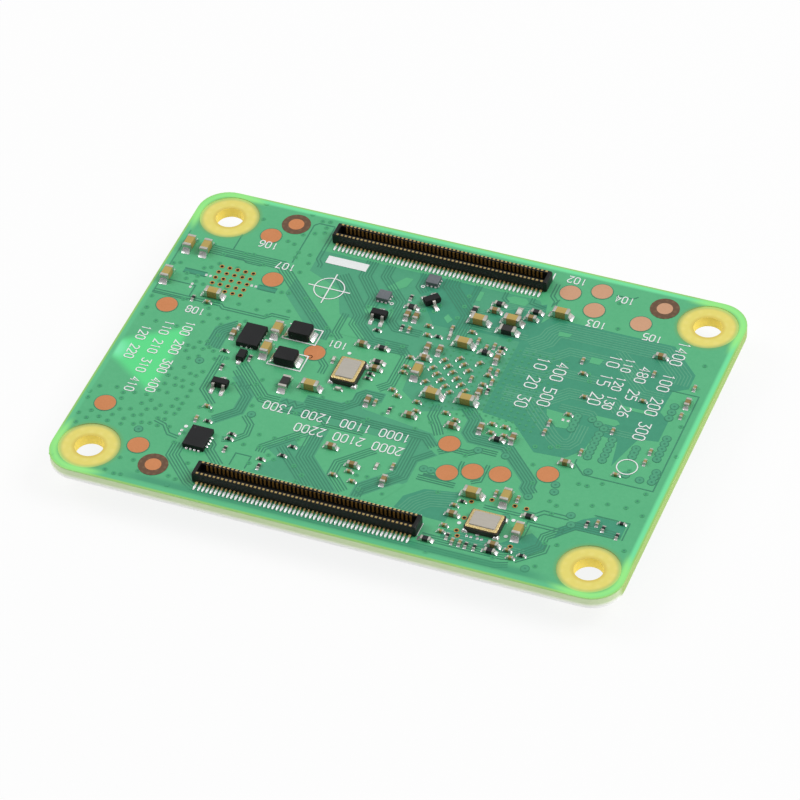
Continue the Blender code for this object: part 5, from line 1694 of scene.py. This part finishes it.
@dataclass
class Crystal:
    """A quartz crystal: a black ceramic base, a gold-brazed rim and a flat plated cover."""

    name: str
    spot: Spot
    turn: float
    length: float = 3.2
    width: float = 2.5
    base_height: float = 0.52
    lid_height: float = 0.22
    inset: float = 0.1

    def build(self) -> None:
        """Builds the base with its corner solder, and the cover on it."""
        length, width, base_height, lid_height = self.length, self.width, self.base_height, self.lid_height
        base = Surface()
        levels = ((0.0, 0.0, 0.16), (base_height - 0.02, 0.0, 0.16), (base_height, 0.04, 0.15))
        base.add_solids(block(length, width, levels, 4), [self.spot], self.turn, gap=SOLDER_GAP)
        pad = tower((
            (0.0, 0.62, 0.56, 0.12), (0.1, 0.6, 0.54, 0.12), (0.24, 0.4, 0.36, 0.12), (0.3, 0.2, 0.18, 0.08),
        ), 4)
        angle = math.radians(self.turn)
        reach = (length / 2 - 0.14, width / 2 - 0.1)
        away = np.array([(sx * reach[0], sy * reach[1]) for sx in (-1, 1) for sy in (-1, 1)])
        basis = np.array([[math.cos(angle), math.sin(angle)], [-math.sin(angle), math.cos(angle)]])
        base.add_solids(pad, away @ basis + self.spot, self.turn, slot=1)
        base.build(self.name + "_ceramic_base", (ALUMINA, SOLDER), (self.name + "_base",), "crystal_base")
        cover = block(length - 2 * self.inset, width - 2 * self.inset, (
            (0.0, 0.0, 0.2), (0.07, 0.0, 0.2), (0.09, 0.08, 0.2), (0.12, 0.5, 0.2),
            (lid_height - 0.03, 0.56, 0.2), (lid_height - 0.008, 0.6, 0.2), (lid_height, 0.7, 0.2),
        ), 6)
        gap = SOLDER_GAP + base_height + 0.02
        lid = Surface()
        lid.add_solids(cover, [self.spot], self.turn, gap=gap, slot=[0, 0, 0, 1, 1, 1])
        lid.build(self.name + "_cover", (GOLD_SEAL, NICKEL), (self.name + "_lid",), "crystal_lid")


@dataclass
class FlatChip:
    """A flat package: a moulded block over leads that show as small joints round its foot.

    Attributes:
        node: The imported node's name.
        spot: The chip's middle.
        length: Length along X.
        width: Width along Y.
        height: Height of the package.
        finish: The finish of the package.
        leads_x: Leads on each of the two sides that face along Y.
        leads_y: Leads on each of the two sides that face along X.
        lead_pitch: Distance between leads.
        side: The face of the board.
        gap: Height of the package over the board.
        dot: Whether the package has a round dimple at its first lead.
        joints: How far the solder shows past the package.
    """

    node: str
    spot: Spot
    length: float
    width: float
    height: float
    finish: Finish
    leads_x: int
    leads_y: int
    lead_pitch: float
    side: Side = Side.UPPER
    gap: float = SOLDER_GAP
    dot: bool = True
    joints: float = 0.12

    def build(self) -> None:
        """Builds the package with its leads."""
        length, width, height = self.length, self.width, self.height
        rim = min(0.05, height * 0.08)
        surface = Surface()
        surface.add_solids(block(length, width, (
            (0.0, 0.0, 0.02), (height - rim, 0.0, 0.02), (height - rim * 0.4, rim * 0.8, 0.03),
            (height, 2 * rim, 0.04),
        )), [self.spot], 0, self.side, self.gap)
        lead = min(0.25, self.lead_pitch * 0.55)
        drop = bar((
            (-0.12, lead, 0.0, 0.14, 0.03), (0.01, lead, 0.0, 0.16, 0.04),
            (self.joints * 0.5, lead, 0.0, 0.12, 0.04), (self.joints, lead * 0.8, 0.0, 0.05, 0.02),
        ), 3)
        for count, reach, other, turns in (
            (self.leads_y, length / 2, 1, (0.0, 180.0)), (self.leads_x, width / 2, 0, (90.0, 270.0)),
        ):
            run = (np.arange(count) - (count - 1) / 2) * self.lead_pitch
            for turn in turns:
                sign = 1 if turn < 180 else -1
                spots = np.empty((count, 2))
                spots[:, other] = self.spot[other] + run
                spots[:, 1 - other] = self.spot[1 - other] + sign * reach
                surface.add_solids(drop, spots, turn, self.side, slot=1)
        if self.dot:
            mark = turned(((0.12, 0.0), (0.1, 0.004), (0.02, 0.004)), 16)
            corner = (self.spot[0] - length / 2 + 0.35, self.spot[1] + width / 2 - 0.35)
            surface.add_solids(mark, [corner], 0, self.side, self.gap + height - 0.001, slot=2)
        surface.build(self.node + "_package", (self.finish, SOLDER, FERRITE), (self.node,), "chip")


@dataclass
class Transistor:
    """A three-lead transistor: a drafted moulding with formed leads on its two long sides."""

    number: int
    spot: Spot
    turn: float
    length: float = 1.6
    width: float = 0.8
    height: float = 0.72
    lead_width: float = 0.27
    reach: float = 0.55

    def build(self) -> None:
        """Builds the moulding, its leads and their solder."""
        height, half = self.height, self.width / 2
        surface = Surface()
        surface.add_solids(block(self.length, self.width, (
            (0.05, 0.12, 0.03), (0.4, 0.0, 0.03), (0.46, 0.0, 0.03), (height - 0.04, 0.11, 0.04),
            (height, 0.2, 0.04),
        )), [self.spot], self.turn, gap=SOLDER_GAP)
        toe = half + self.reach
        lead = (
            (half - 0.1, 0.48), (half + 0.03, 0.48), (half + 0.1, 0.42), (half + 0.2, 0.08),
            (half + 0.26, 0.0), (toe, 0.0), (toe, 0.11), (half + 0.34, 0.12), (half + 0.28, 0.3),
            (half + 0.18, 0.54), (half + 0.1, 0.6), (half - 0.1, 0.6),
        )
        drop = (
            (half + 0.12, -0.03), (toe + 0.3, -0.03), (toe + 0.24, 0.02), (toe + 0.06, 0.13),
            (toe - 0.08, 0.16), (half + 0.3, 0.1), (half + 0.18, 0.2), (half + 0.14, 0.06),
        )
        angle = math.radians(self.turn)
        right = np.array([math.cos(angle), math.sin(angle)])
        for offset, extra in ((-0.5, 180), (0.5, 180), (0.0, 0)):
            spot = [np.array(self.spot) + offset * right]
            turn = self.turn + extra
            surface.add_solids(plate(lead, self.lead_width), spot, turn, gap=SOLDER_GAP, slot=1)
            surface.add_solids(plate(drop, self.lead_width + 0.09), spot, turn, gap=SOLDER_GAP, slot=2)
        node = f"transistor_{self.number}"
        surface.build("lead_" + node, (EPOXY, TIN, SOLDER), (node,), "chip")


@dataclass
class ClampDiode:
    """A small two-lead diode with a flat tab under each end."""

    spot: Spot = (-15.35, -1.25)
    turn: float = 90.0

    def build(self) -> None:
        """Builds the moulding, its tabs and their solder."""
        surface = Surface()
        levels = ((0.0, 0.06, 0.03), (0.2, 0.0, 0.03), (0.5, 0.06, 0.04), (0.55, 0.14, 0.04))
        surface.add_solids(block(1.2, 0.8, levels), [self.spot], self.turn, gap=SOLDER_GAP)
        tab = bar((
            (0.5, 0.3, 0.0, 0.15, 0.02), (0.82, 0.3, 0.0, 0.15, 0.02), (0.85, 0.28, 0.01, 0.13, 0.03),
        ), 3)
        drop = bar((
            (0.6, 0.42, -0.03, 0.1, 0.04), (0.8, 0.46, -0.03, 0.18, 0.06),
            (0.95, 0.4, -0.03, 0.1, 0.05), (1.05, 0.26, -0.03, 0.02, 0.02),
        ), 3)
        for extra in (0.0, 180.0):
            surface.add_solids(tab, [self.spot], self.turn + extra, gap=SOLDER_GAP, slot=1)
            surface.add_solids(drop, [self.spot], self.turn + extra, gap=SOLDER_GAP, slot=2)
        surface.build("two_lead_diode", (EPOXY, TIN, SOLDER), ("clamp_diode",), "chip")


@dataclass
class Processor:
    """The processor on the lower face: a laminate on solder balls under a coined metal lid."""

    spot: Spot = PROCESSOR
    side: float = 15.0
    ball_gap: float = 0.34
    substrate: float = 0.8
    flange: float = 0.5
    crown: float = 0.74
    ball_pitch: float = BALL_PITCH

    def build(self) -> None:
        """Builds the substrate with its balls, and the lid."""
        base = Surface()
        side, flange = self.side, self.flange
        slab = block(side, side, ((0.0, 0.0, 0.05), (self.substrate, 0.0, 0.05)))
        base.add_solids(slab, [self.spot], 0, Side.LOWER, self.ball_gap)
        balls = ball_grid(self.spot, (side - 1.2, side - 1.2), self.ball_pitch, self.ball_gap, 3)
        base.add_grid(balls, 1, around=True, caps=True)
        base.build("processor_laminate", (PACKAGE_LAMINATE, SOLDER), ("processor_substrate",), "substrate")
        wide, narrow = side - 0.8, side - 3.2
        foot = self.ball_gap + self.substrate + SOLDER_GAP
        top = flange + self.crown
        lid = tower([(height, size, size, corner) for height, size, corner in (
            (0.0, wide, 0.3), (flange - 0.14, wide, 0.3), (flange - 0.04, wide - 0.08, 0.3),
            (flange, wide - 0.3, 0.3), (flange, narrow + 0.25, 0.7), (flange + 0.08, narrow + 0.04, 0.62),
            (flange + 0.2, narrow, 0.6), (top - 0.2, narrow, 0.6), (top - 0.08, narrow - 0.08, 0.58),
            (top, narrow - 0.34, 0.5),
        )], 7)
        cover = Surface()
        cover.add_solids(lid, [self.spot], 0, Side.LOWER, foot)
        cover.build("processor_heat_lid", (LID_NICKEL,), ("processor_lid",), "lid")


def ball_grid(spot: Spot, reach: Spot, pitch: float, height: float, rows: int) -> Array:
    """Solder balls on the lower face, of which only the outer rows can be seen.

    A ball is a turned half sine. Its poles are cut off where it meets the board and the package.

    Args:
        spot: Middle of the package.
        reach: Length and width over the balls.
        pitch: Distance between balls.
        height: Height of a ball.
        rows: How many outer rows are made.

    Returns:
        The balls as copies of a grid.
    """
    cut = 0.35
    angle = np.linspace(cut, np.pi - cut, 5)
    radius = height * 0.62
    ball = turned([(radius * math.sin(a), height / 2 * (1 - math.cos(a) / math.cos(cut))) for a in angle], 8)
    count_x, count_y = int(reach[0] / pitch) + 1, int(reach[1] / pitch) + 1
    column, row = np.meshgrid(np.arange(count_x), np.arange(count_y), indexing="ij")
    edge = np.minimum(np.minimum(column, count_x - 1 - column), np.minimum(row, count_y - 1 - row))
    kept = edge < rows
    along, across = column[kept] - (count_x - 1) / 2, row[kept] - (count_y - 1) / 2
    spots = np.stack([spot[0] + along * pitch, spot[1] + across * pitch], axis=1)
    return placed(ball, spots, 0, Side.LOWER)


@dataclass
class BallChip:
    """A moulded memory or flash package on solder balls on the lower face."""

    node: str
    spot: Spot
    length: float
    width: float
    height: float
    gap: float = 0.25
    pitch: float = 0.8

    def build(self) -> None:
        """Builds the thin laminate, the moulding on it and the balls."""
        length, width, height = self.length, self.width, self.height
        surface = Surface()
        core = block(length, width, ((0.0, 0.0, 0.04), (0.18, 0.0, 0.04)))
        surface.add_solids(core, [self.spot], 0, Side.LOWER, self.gap, slot=1)
        moulding = block(length, width, (
            (0.18, 0.02, 0.05), (height - 0.06, 0.02, 0.05), (height - 0.02, 0.06, 0.06),
            (height, 0.15, 0.08),
        ))
        surface.add_solids(moulding, [self.spot], 0, Side.LOWER, self.gap)
        mark = turned(((0.35, 0.0), (0.3, 0.004), (0.05, 0.004)), 24)
        corner = (self.spot[0] - length / 2 + 0.9, self.spot[1] + width / 2 - 0.9)
        surface.add_solids(mark, [corner], 0, Side.LOWER, self.gap + height - 0.001, slot=3)
        balls = ball_grid(self.spot, (length - 1.4, width - 1.4), self.pitch, self.gap, 3)
        surface.add_grid(balls, 2, around=True, caps=True)
        finishes = (EPOXY, PACKAGE_LAMINATE, SOLDER, FERRITE)
        surface.build(self.node + "_package", finishes, (self.node,), "chip")


@dataclass
class WirelessScreen:
    """The drawn can over the wireless chip, open towards the board, with vents and solder feet."""

    spot: Spot = CAN
    length: float = 11.0
    width: float = 9.5
    height: float = 1.4
    sheet: float = 0.15
    corner: float = 0.6

    def build(self) -> None:
        """Lofts the can from its inner ceiling, round the rim and up to its rounded top."""
        (x, y), length, width, height = self.spot, self.length, self.width, self.height
        wall, corner = self.sheet, self.corner
        inner = corner - wall
        can = block(length, width, (
            (height - wall, 2 * wall + 0.3, inner), (height - wall - 0.1, 2 * wall, inner),
            (0.0, 2 * wall, inner), (0.0, 0.0, corner), (height - 0.2, 0.0, corner),
            (height - 0.06, 0.1, corner), (height, 0.4, corner * 0.8),
        ), 6)
        surface = Surface()
        surface.add_solids(can, [self.spot], 0, Side.LOWER, SOLDER_GAP)
        # The vents are flat, almost black discs on the can: painted shade for the dark inside seen through
        # each vent
        vent = turned(((0.32, 0.0), (0.3, 0.004), (0.04, 0.004)), 20)
        vents = crossings(x + np.array([-4.2, -1.4, 1.4, 4.2]), y + np.array([-3.4, 3.4]))
        surface.add_solids(vent, vents, 0, Side.LOWER, SOLDER_GAP + height - 0.001, slot=2)
        foot = tower(((0.0, 1.2, 0.36, 0.1), (0.12, 1.1, 0.3, 0.1), (0.2, 0.9, 0.18, 0.06)), 3)
        sides = [(x + run, y + s * (width / 2 + 0.06)) for run in (-3.6, 0.0, 3.6) for s in (-1, 1)]
        ends = [(x + s * (length / 2 + 0.06), y + run) for run in (-2.6, 0.6, 3.4) for s in (-1, 1)]
        surface.add_solids(foot, sides, 0, Side.LOWER, slot=1)
        surface.add_solids(foot, ends, 90, Side.LOWER, slot=1)
        surface.build("wireless_screen", (TINPLATE, SOLDER, HOLE_SHADE), ("wireless_can",), "can")


@dataclass
class AntennaReceptacle:
    """The coaxial receptacle: a moulded base, a turned shell and a centre pin."""

    spot: Spot = RECEPTACLE

    def build(self) -> None:
        """Builds its three pieces."""
        base = Surface()
        (x, y), out = self.spot, 1.42
        moulding = block(2.6, 2.6, ((0.0, 0.0, 0.32), (0.31, 0.0, 0.32), (0.35, 0.1, 0.3)))
        base.add_solids(moulding, [self.spot], 0, Side.LOWER, SOLDER_GAP)
        pad = block(0.7, 0.5, ((0.0, 0.0, 0.06), (0.1, 0.04, 0.06), (0.16, 0.2, 0.05)))
        base.add_solids(pad, [(x - out, y), (x + out, y)], 90, Side.LOWER, slot=1)
        base.add_solids(pad, [(x, y - out)], 0, Side.LOWER, slot=1)
        node = ("antenna_receptacle_base",)
        base.build("receptacle_moulding", (CREAM_POLYMER, SOLDER), node, "receptacle_base")
        gap = SOLDER_GAP + 0.35 + SOLDER_GAP
        profile = (
            (0.82, 0.0), (1.0, 0.0), (1.0, 0.28), (0.97, 0.34), (0.94, 0.46), (0.94, 0.54), (0.97, 0.64),
            (1.0, 0.7), (0.99, 0.78), (0.94, 0.84), (0.9, 0.85), (0.84, 0.83), (0.82, 0.78), (0.82, 0.0),
        )
        shell = Surface()
        shell.add_grid(placed(turned(profile, 40), [self.spot], 0, Side.LOWER, gap), around=True)
        shell.build("receptacle_shell", (GILT,), ("antenna_receptacle_shell",), "gold", weld=True)
        pin = Surface()
        post = turned(((0.26, 0.0), (0.26, 0.45), (0.22, 0.55), (0.12, 0.6), (0.03, 0.6)), 20)
        pin.add_solids(post, [self.spot], 0, Side.LOWER, gap)
        pin.build("receptacle_pin", (GILT,), ("antenna_receptacle_pin",), "gold")


@dataclass
class LowerArtwork:
    """Filled vias, test pads and printed corners on the face turned down."""

    seed: int = 11
    via_pitch: float = 1.1
    via_drift: float = 0.3
    via_share: float = 0.4
    via_radii: Spot = (0.17, 0.1)
    hole_room: float = 3.3
    pad_radius: float = 0.55
    arm: float = 0.9
    line_width: float = 0.12

    def build(self) -> None:
        """Builds the three layers."""
        art = BoardArtwork()
        maker = np.random.default_rng(self.seed)
        spots = crossings(np.arange(-26.4, 26.8, self.via_pitch), np.arange(-18.9, 19.2, self.via_pitch))
        spots += maker.uniform(-self.via_drift, self.via_drift, spots.shape)
        spots = spots[maker.uniform(size=len(spots)) < self.via_share]
        spots = spots[clear_of(spots, HOLES, self.hole_room)]
        vias = Surface()
        radius, hole = self.via_radii
        art.add_discs(vias, spots, radius, art.dot_height, hole=hole, steps=10, side=Side.LOWER)
        vias.build_layer("masked_vias_lower", MASK_GAP)
        marks = Surface()
        for spot, reach in ((PROCESSOR, 7.8), (NETWORK, 3.8), (CONTROLLER, 2.8)):
            for sx, sy in ((1, 1), (1, -1), (-1, 1), (-1, -1)):
                x, y = spot[0] + sx * reach, spot[1] + sy * reach
                path = ((x - sx * self.arm, y), (x, y), (x, y - sy * self.arm))
                marks.add_grid(ribbon(path, self.line_width, BOARD_BOTTOM - art.ink_height))
        marks.build_layer("printed_corners_lower", INK)
        pads = Surface()
        lower_pads = [(-25.4, -2.0 - 1.6 * n) for n in range(3)] + [(24.4, 12.4), (9.0, 17.6), (-4.0, 17.6)]
        art.add_discs(pads, lower_pads, self.pad_radius, art.pad_height, side=Side.LOWER)
        pads.build_layer("bare_copper_pads_lower", COPPER)


@dataclass
class Studio:
    """The floor, the lamps and the camera, which aren't part of the module.

    Attributes:
        target: The point of the board in the middle of the picture.
        distance: From the camera to that point.
        azimuth: Turn of the camera from straight in front, in degrees.
        elevation: Angle of the view over the horizon, in degrees.
        roll: Turn of the picture about the view, in degrees.
        lens: Focal length on a frame 36 mm wide.
        shift: Sideways and upward shift of the picture, as a share of the frame.
        room: Strength of the room's light towards the horizon.
        room_lean: How much it grows to the right, to the rear and overhead.
        room_least: The strength that it keeps everywhere.
        glow: How far the floor reads as white to the camera.
    """

    target: Triple = (0.444, -1.891, BOARD_TOP)
    distance: float = 418.03
    azimuth: float = 23.351
    elevation: float = 43.540
    roll: float = 3.097
    lens: float = 206.135
    shift: Spot = (0.0016, 0.0001)
    room: float = 0.24
    room_lean: Triple = (0.04, 0.2, 0.35)
    room_least: float = 0.05
    glow: float = 0.88

    def build_camera(self) -> None:
        """Sets the camera where the photograph was taken from.

        The view direction comes from the two angles. The picture's right is the level direction,
        turned down by the roll about the view.
        """
        azimuth, elevation, roll = (math.radians(a) for a in (self.azimuth, self.elevation, self.roll))
        flat = math.cos(elevation)
        ahead = Vector((-math.sin(azimuth) * flat, math.cos(azimuth) * flat, -math.sin(elevation)))
        level = ahead.cross(Vector((0, 0, 1))).normalized()
        upright = level.cross(ahead)
        right = level * math.cos(roll) - upright * math.sin(roll)
        up = right.cross(ahead)
        data = bpy.data.cameras.new("camera")
        data.sensor_width = 36.0
        data.sensor_fit = "AUTO"
        data.lens = self.lens
        data.shift_x, data.shift_y = self.shift
        data.clip_start = 0.01
        data.clip_end = 10.0
        camera = bpy.data.objects.new("camera", data)
        place = Vector(self.target) * MM - ahead * self.distance * MM
        turn = Matrix((right, up, -ahead)).transposed().to_4x4()
        camera.matrix_world = Matrix.Translation(place) @ turn
        bpy.context.scene.collection.objects.link(camera)
        bpy.context.scene.camera = camera

    def build_floor(self) -> None:
        """Lays a wide white floor that keeps the module's shadow and reads as white to the camera."""
        mesh = bpy.data.meshes.new("studio_floor")
        side = 2.0
        corners = np.array([(-side, -side, 0), (side, -side, 0), (side, side, 0), (-side, side, 0)])
        mesh.from_pydata(corners, [], [(0, 1, 2, 3)])
        material = bpy.data.materials.new("white_paper_sweep")
        material.use_nodes = True
        tree = material.node_tree
        paper = tree.nodes["Principled BSDF"]
        paper.inputs["Base Color"].default_value = linear("f2f2f2")
        paper.inputs["Roughness"].default_value = 0.9
        paper.inputs["Specular IOR Level"].default_value = 0.2
        glow = add_node(tree, "Emission", {"Color": (1, 1, 1, 1), "Strength": 1.0})
        shown = add_node(tree, "MixShader", {0: self.glow, 1: paper.outputs[0], 2: glow.outputs[0]})
        path = add_node(tree, "LightPath")
        seen = add_node(
            tree, "Math", {0: path.outputs["Is Camera Ray"], 1: path.outputs["Is Glossy Ray"]},
            operation="MAXIMUM",
        )
        both = add_node(tree, "MixShader", {0: seen.outputs[0], 1: paper.outputs[0], 2: shown.outputs[0]})
        tree.links.new(both.outputs[0], tree.nodes["Material Output"].inputs["Surface"])
        mesh.materials.append(material)
        floor = bpy.data.objects.new("studio_floor", mesh)
        bpy.context.scene.collection.objects.link(floor)

    def add_lamp(self, name: str, place: Sequence[float], side: float, power: float) -> None:
        """Hangs a square soft lamp that points at the module.

        Args:
            name: The lamp's name.
            place: Where it hangs, in metres.
            side: Its side, in metres.
            power: Its power, in watts.
        """
        data = bpy.data.lights.new(name, "AREA")
        data.shape = "SQUARE"
        data.size = side
        data.energy = power
        lamp = bpy.data.objects.new(name, data)
        lamp.location = place
        lamp.rotation_euler = (-Vector(place)).to_track_quat("-Z", "Y").to_euler()
        bpy.context.scene.collection.objects.link(lamp)

    def build_light(self) -> None:
        """Lights the module from a white room, brighter overhead and behind, and two soft lamps."""
        world = bpy.data.worlds.new("white_room")
        world.use_nodes = True
        tree = world.node_tree
        tree.nodes.clear()
        path = add_node(tree, "LightPath")
        seen = add_node(
            tree, "Math", {0: path.outputs["Is Camera Ray"], 1: path.outputs["Is Transmission Ray"]},
            operation="MAXIMUM",
        )
        place = add_node(tree, "TexCoord").outputs["Generated"]
        lean = add_node(tree, "VectorMath", {0: place, 1: self.room_lean}, operation="DOT_PRODUCT")
        level = add_node(tree, "Math", {0: lean.outputs[1], 1: self.room}, operation="ADD")
        kept = add_node(tree, "Math", {0: level.outputs[0], 1: self.room_least}, operation="MAXIMUM")
        strength = add_node(
            tree, "MapRange", {"Value": seen.outputs[0], "To Min": kept.outputs[0], "To Max": 1.0}
        )
        room = add_node(tree, "Background", {"Color": (1, 1, 1, 1), "Strength": strength.outputs[0]})
        add_node(tree, "OutputWorld", {"Surface": room.outputs[0]})
        bpy.context.scene.world = world
        self.add_lamp("key_lamp", (0.44, 0.18, 0.54), 0.36, 2.4)
        self.add_lamp("fill_lamp", (-0.55, 0.06, 0.5), 0.4, 1.7)

    def build(self) -> None:
        """Builds the floor, the light and the camera."""
        self.build_floor()
        self.build_light()
        self.build_camera()
        bpy.context.scene.view_settings.view_transform = "Standard"


def main() -> None:
    """Builds every component of the module and the studio round it."""
    logging.basicConfig(level=logging.INFO, format="%(name)s: %(message)s")
    BoardPanel().build()
    BoardArtwork().build()
    LowerArtwork().build()
    for name, middle in (("header_rear", (-2.53, 17.06)), ("header_front", (-2.53, -16.94))):
        header = StackingHeader(name, middle)
        header.build_housing()
        header.build_contacts()
    SmallPassives().build()
    LargePassives().build()
    for number, spot in enumerate(BUCK_INDUCTORS, 1):
        PowerInductor().build(f"moulded_buck_inductor_{number}", f"buck_inductor_{number}", spot, Side.UPPER)
    coil = PowerInductor(length=2.5, width=2.0, height=1.2)
    for number, spot in enumerate(SUPPLY_INDUCTORS, 1):
        coil.build(f"moulded_supply_inductor_{number}", f"supply_inductor_{number}", spot, Side.LOWER)
    Crystal("main_crystal", (-5.18, -0.17), 90.0).build()
    Crystal("network_crystal", (13.55, -14.50), 0.0).build()
    lower = Side.LOWER
    switch = FlatChip("", (0.0, 0.0), 1.2, 1.2, 0.5, WAFER_COAT, 3, 3, 0.4, dot=False, joints=0.1)
    chips = (
        replace(switch, node="load_switch_1", spot=(-5.82, 10.52)),
        replace(switch, node="load_switch_2", spot=(-2.19, 14.02)),
        FlatChip("buck_regulator", (-15.44, 1.44), 2.1, 2.8, 0.55, EPOXY, 3, 5, 0.5, dot=False, joints=0.06),
        FlatChip("interface_chip", (-14.86, -12.69), 2.06, 2.6, 0.5, EPOXY, 4, 4, 0.4, joints=0.18),
        FlatChip("network_chip", NETWORK, 7.0, 7.0, 0.85, EPOXY, 15, 15, 0.4, lower, joints=0.2),
        FlatChip("power_controller", CONTROLLER, 5.0, 5.0, 0.85, EPOXY, 10, 10, 0.4, lower, joints=0.2),
        FlatChip("wireless_chip", CAN, 5.5, 4.5, 0.6, EPOXY, 12, 10, 0.4, lower, joints=0.15),
    )
    for chip in chips:
        chip.build()
    for number, (x, y, turn) in enumerate(TRANSISTORS, 1):
        Transistor(number, (x, y), turn).build()
    ClampDiode().build()
    Processor().build()
    BallChip("memory_chip", MEMORY, 10.0, 14.5, 0.8).build()
    BallChip("flash_chip", FLASH, 13.0, 11.5, 0.9).build()
    WirelessScreen().build()
    AntennaReceptacle().build()
    Studio().build()


if __name__ == "__main__":
    main()
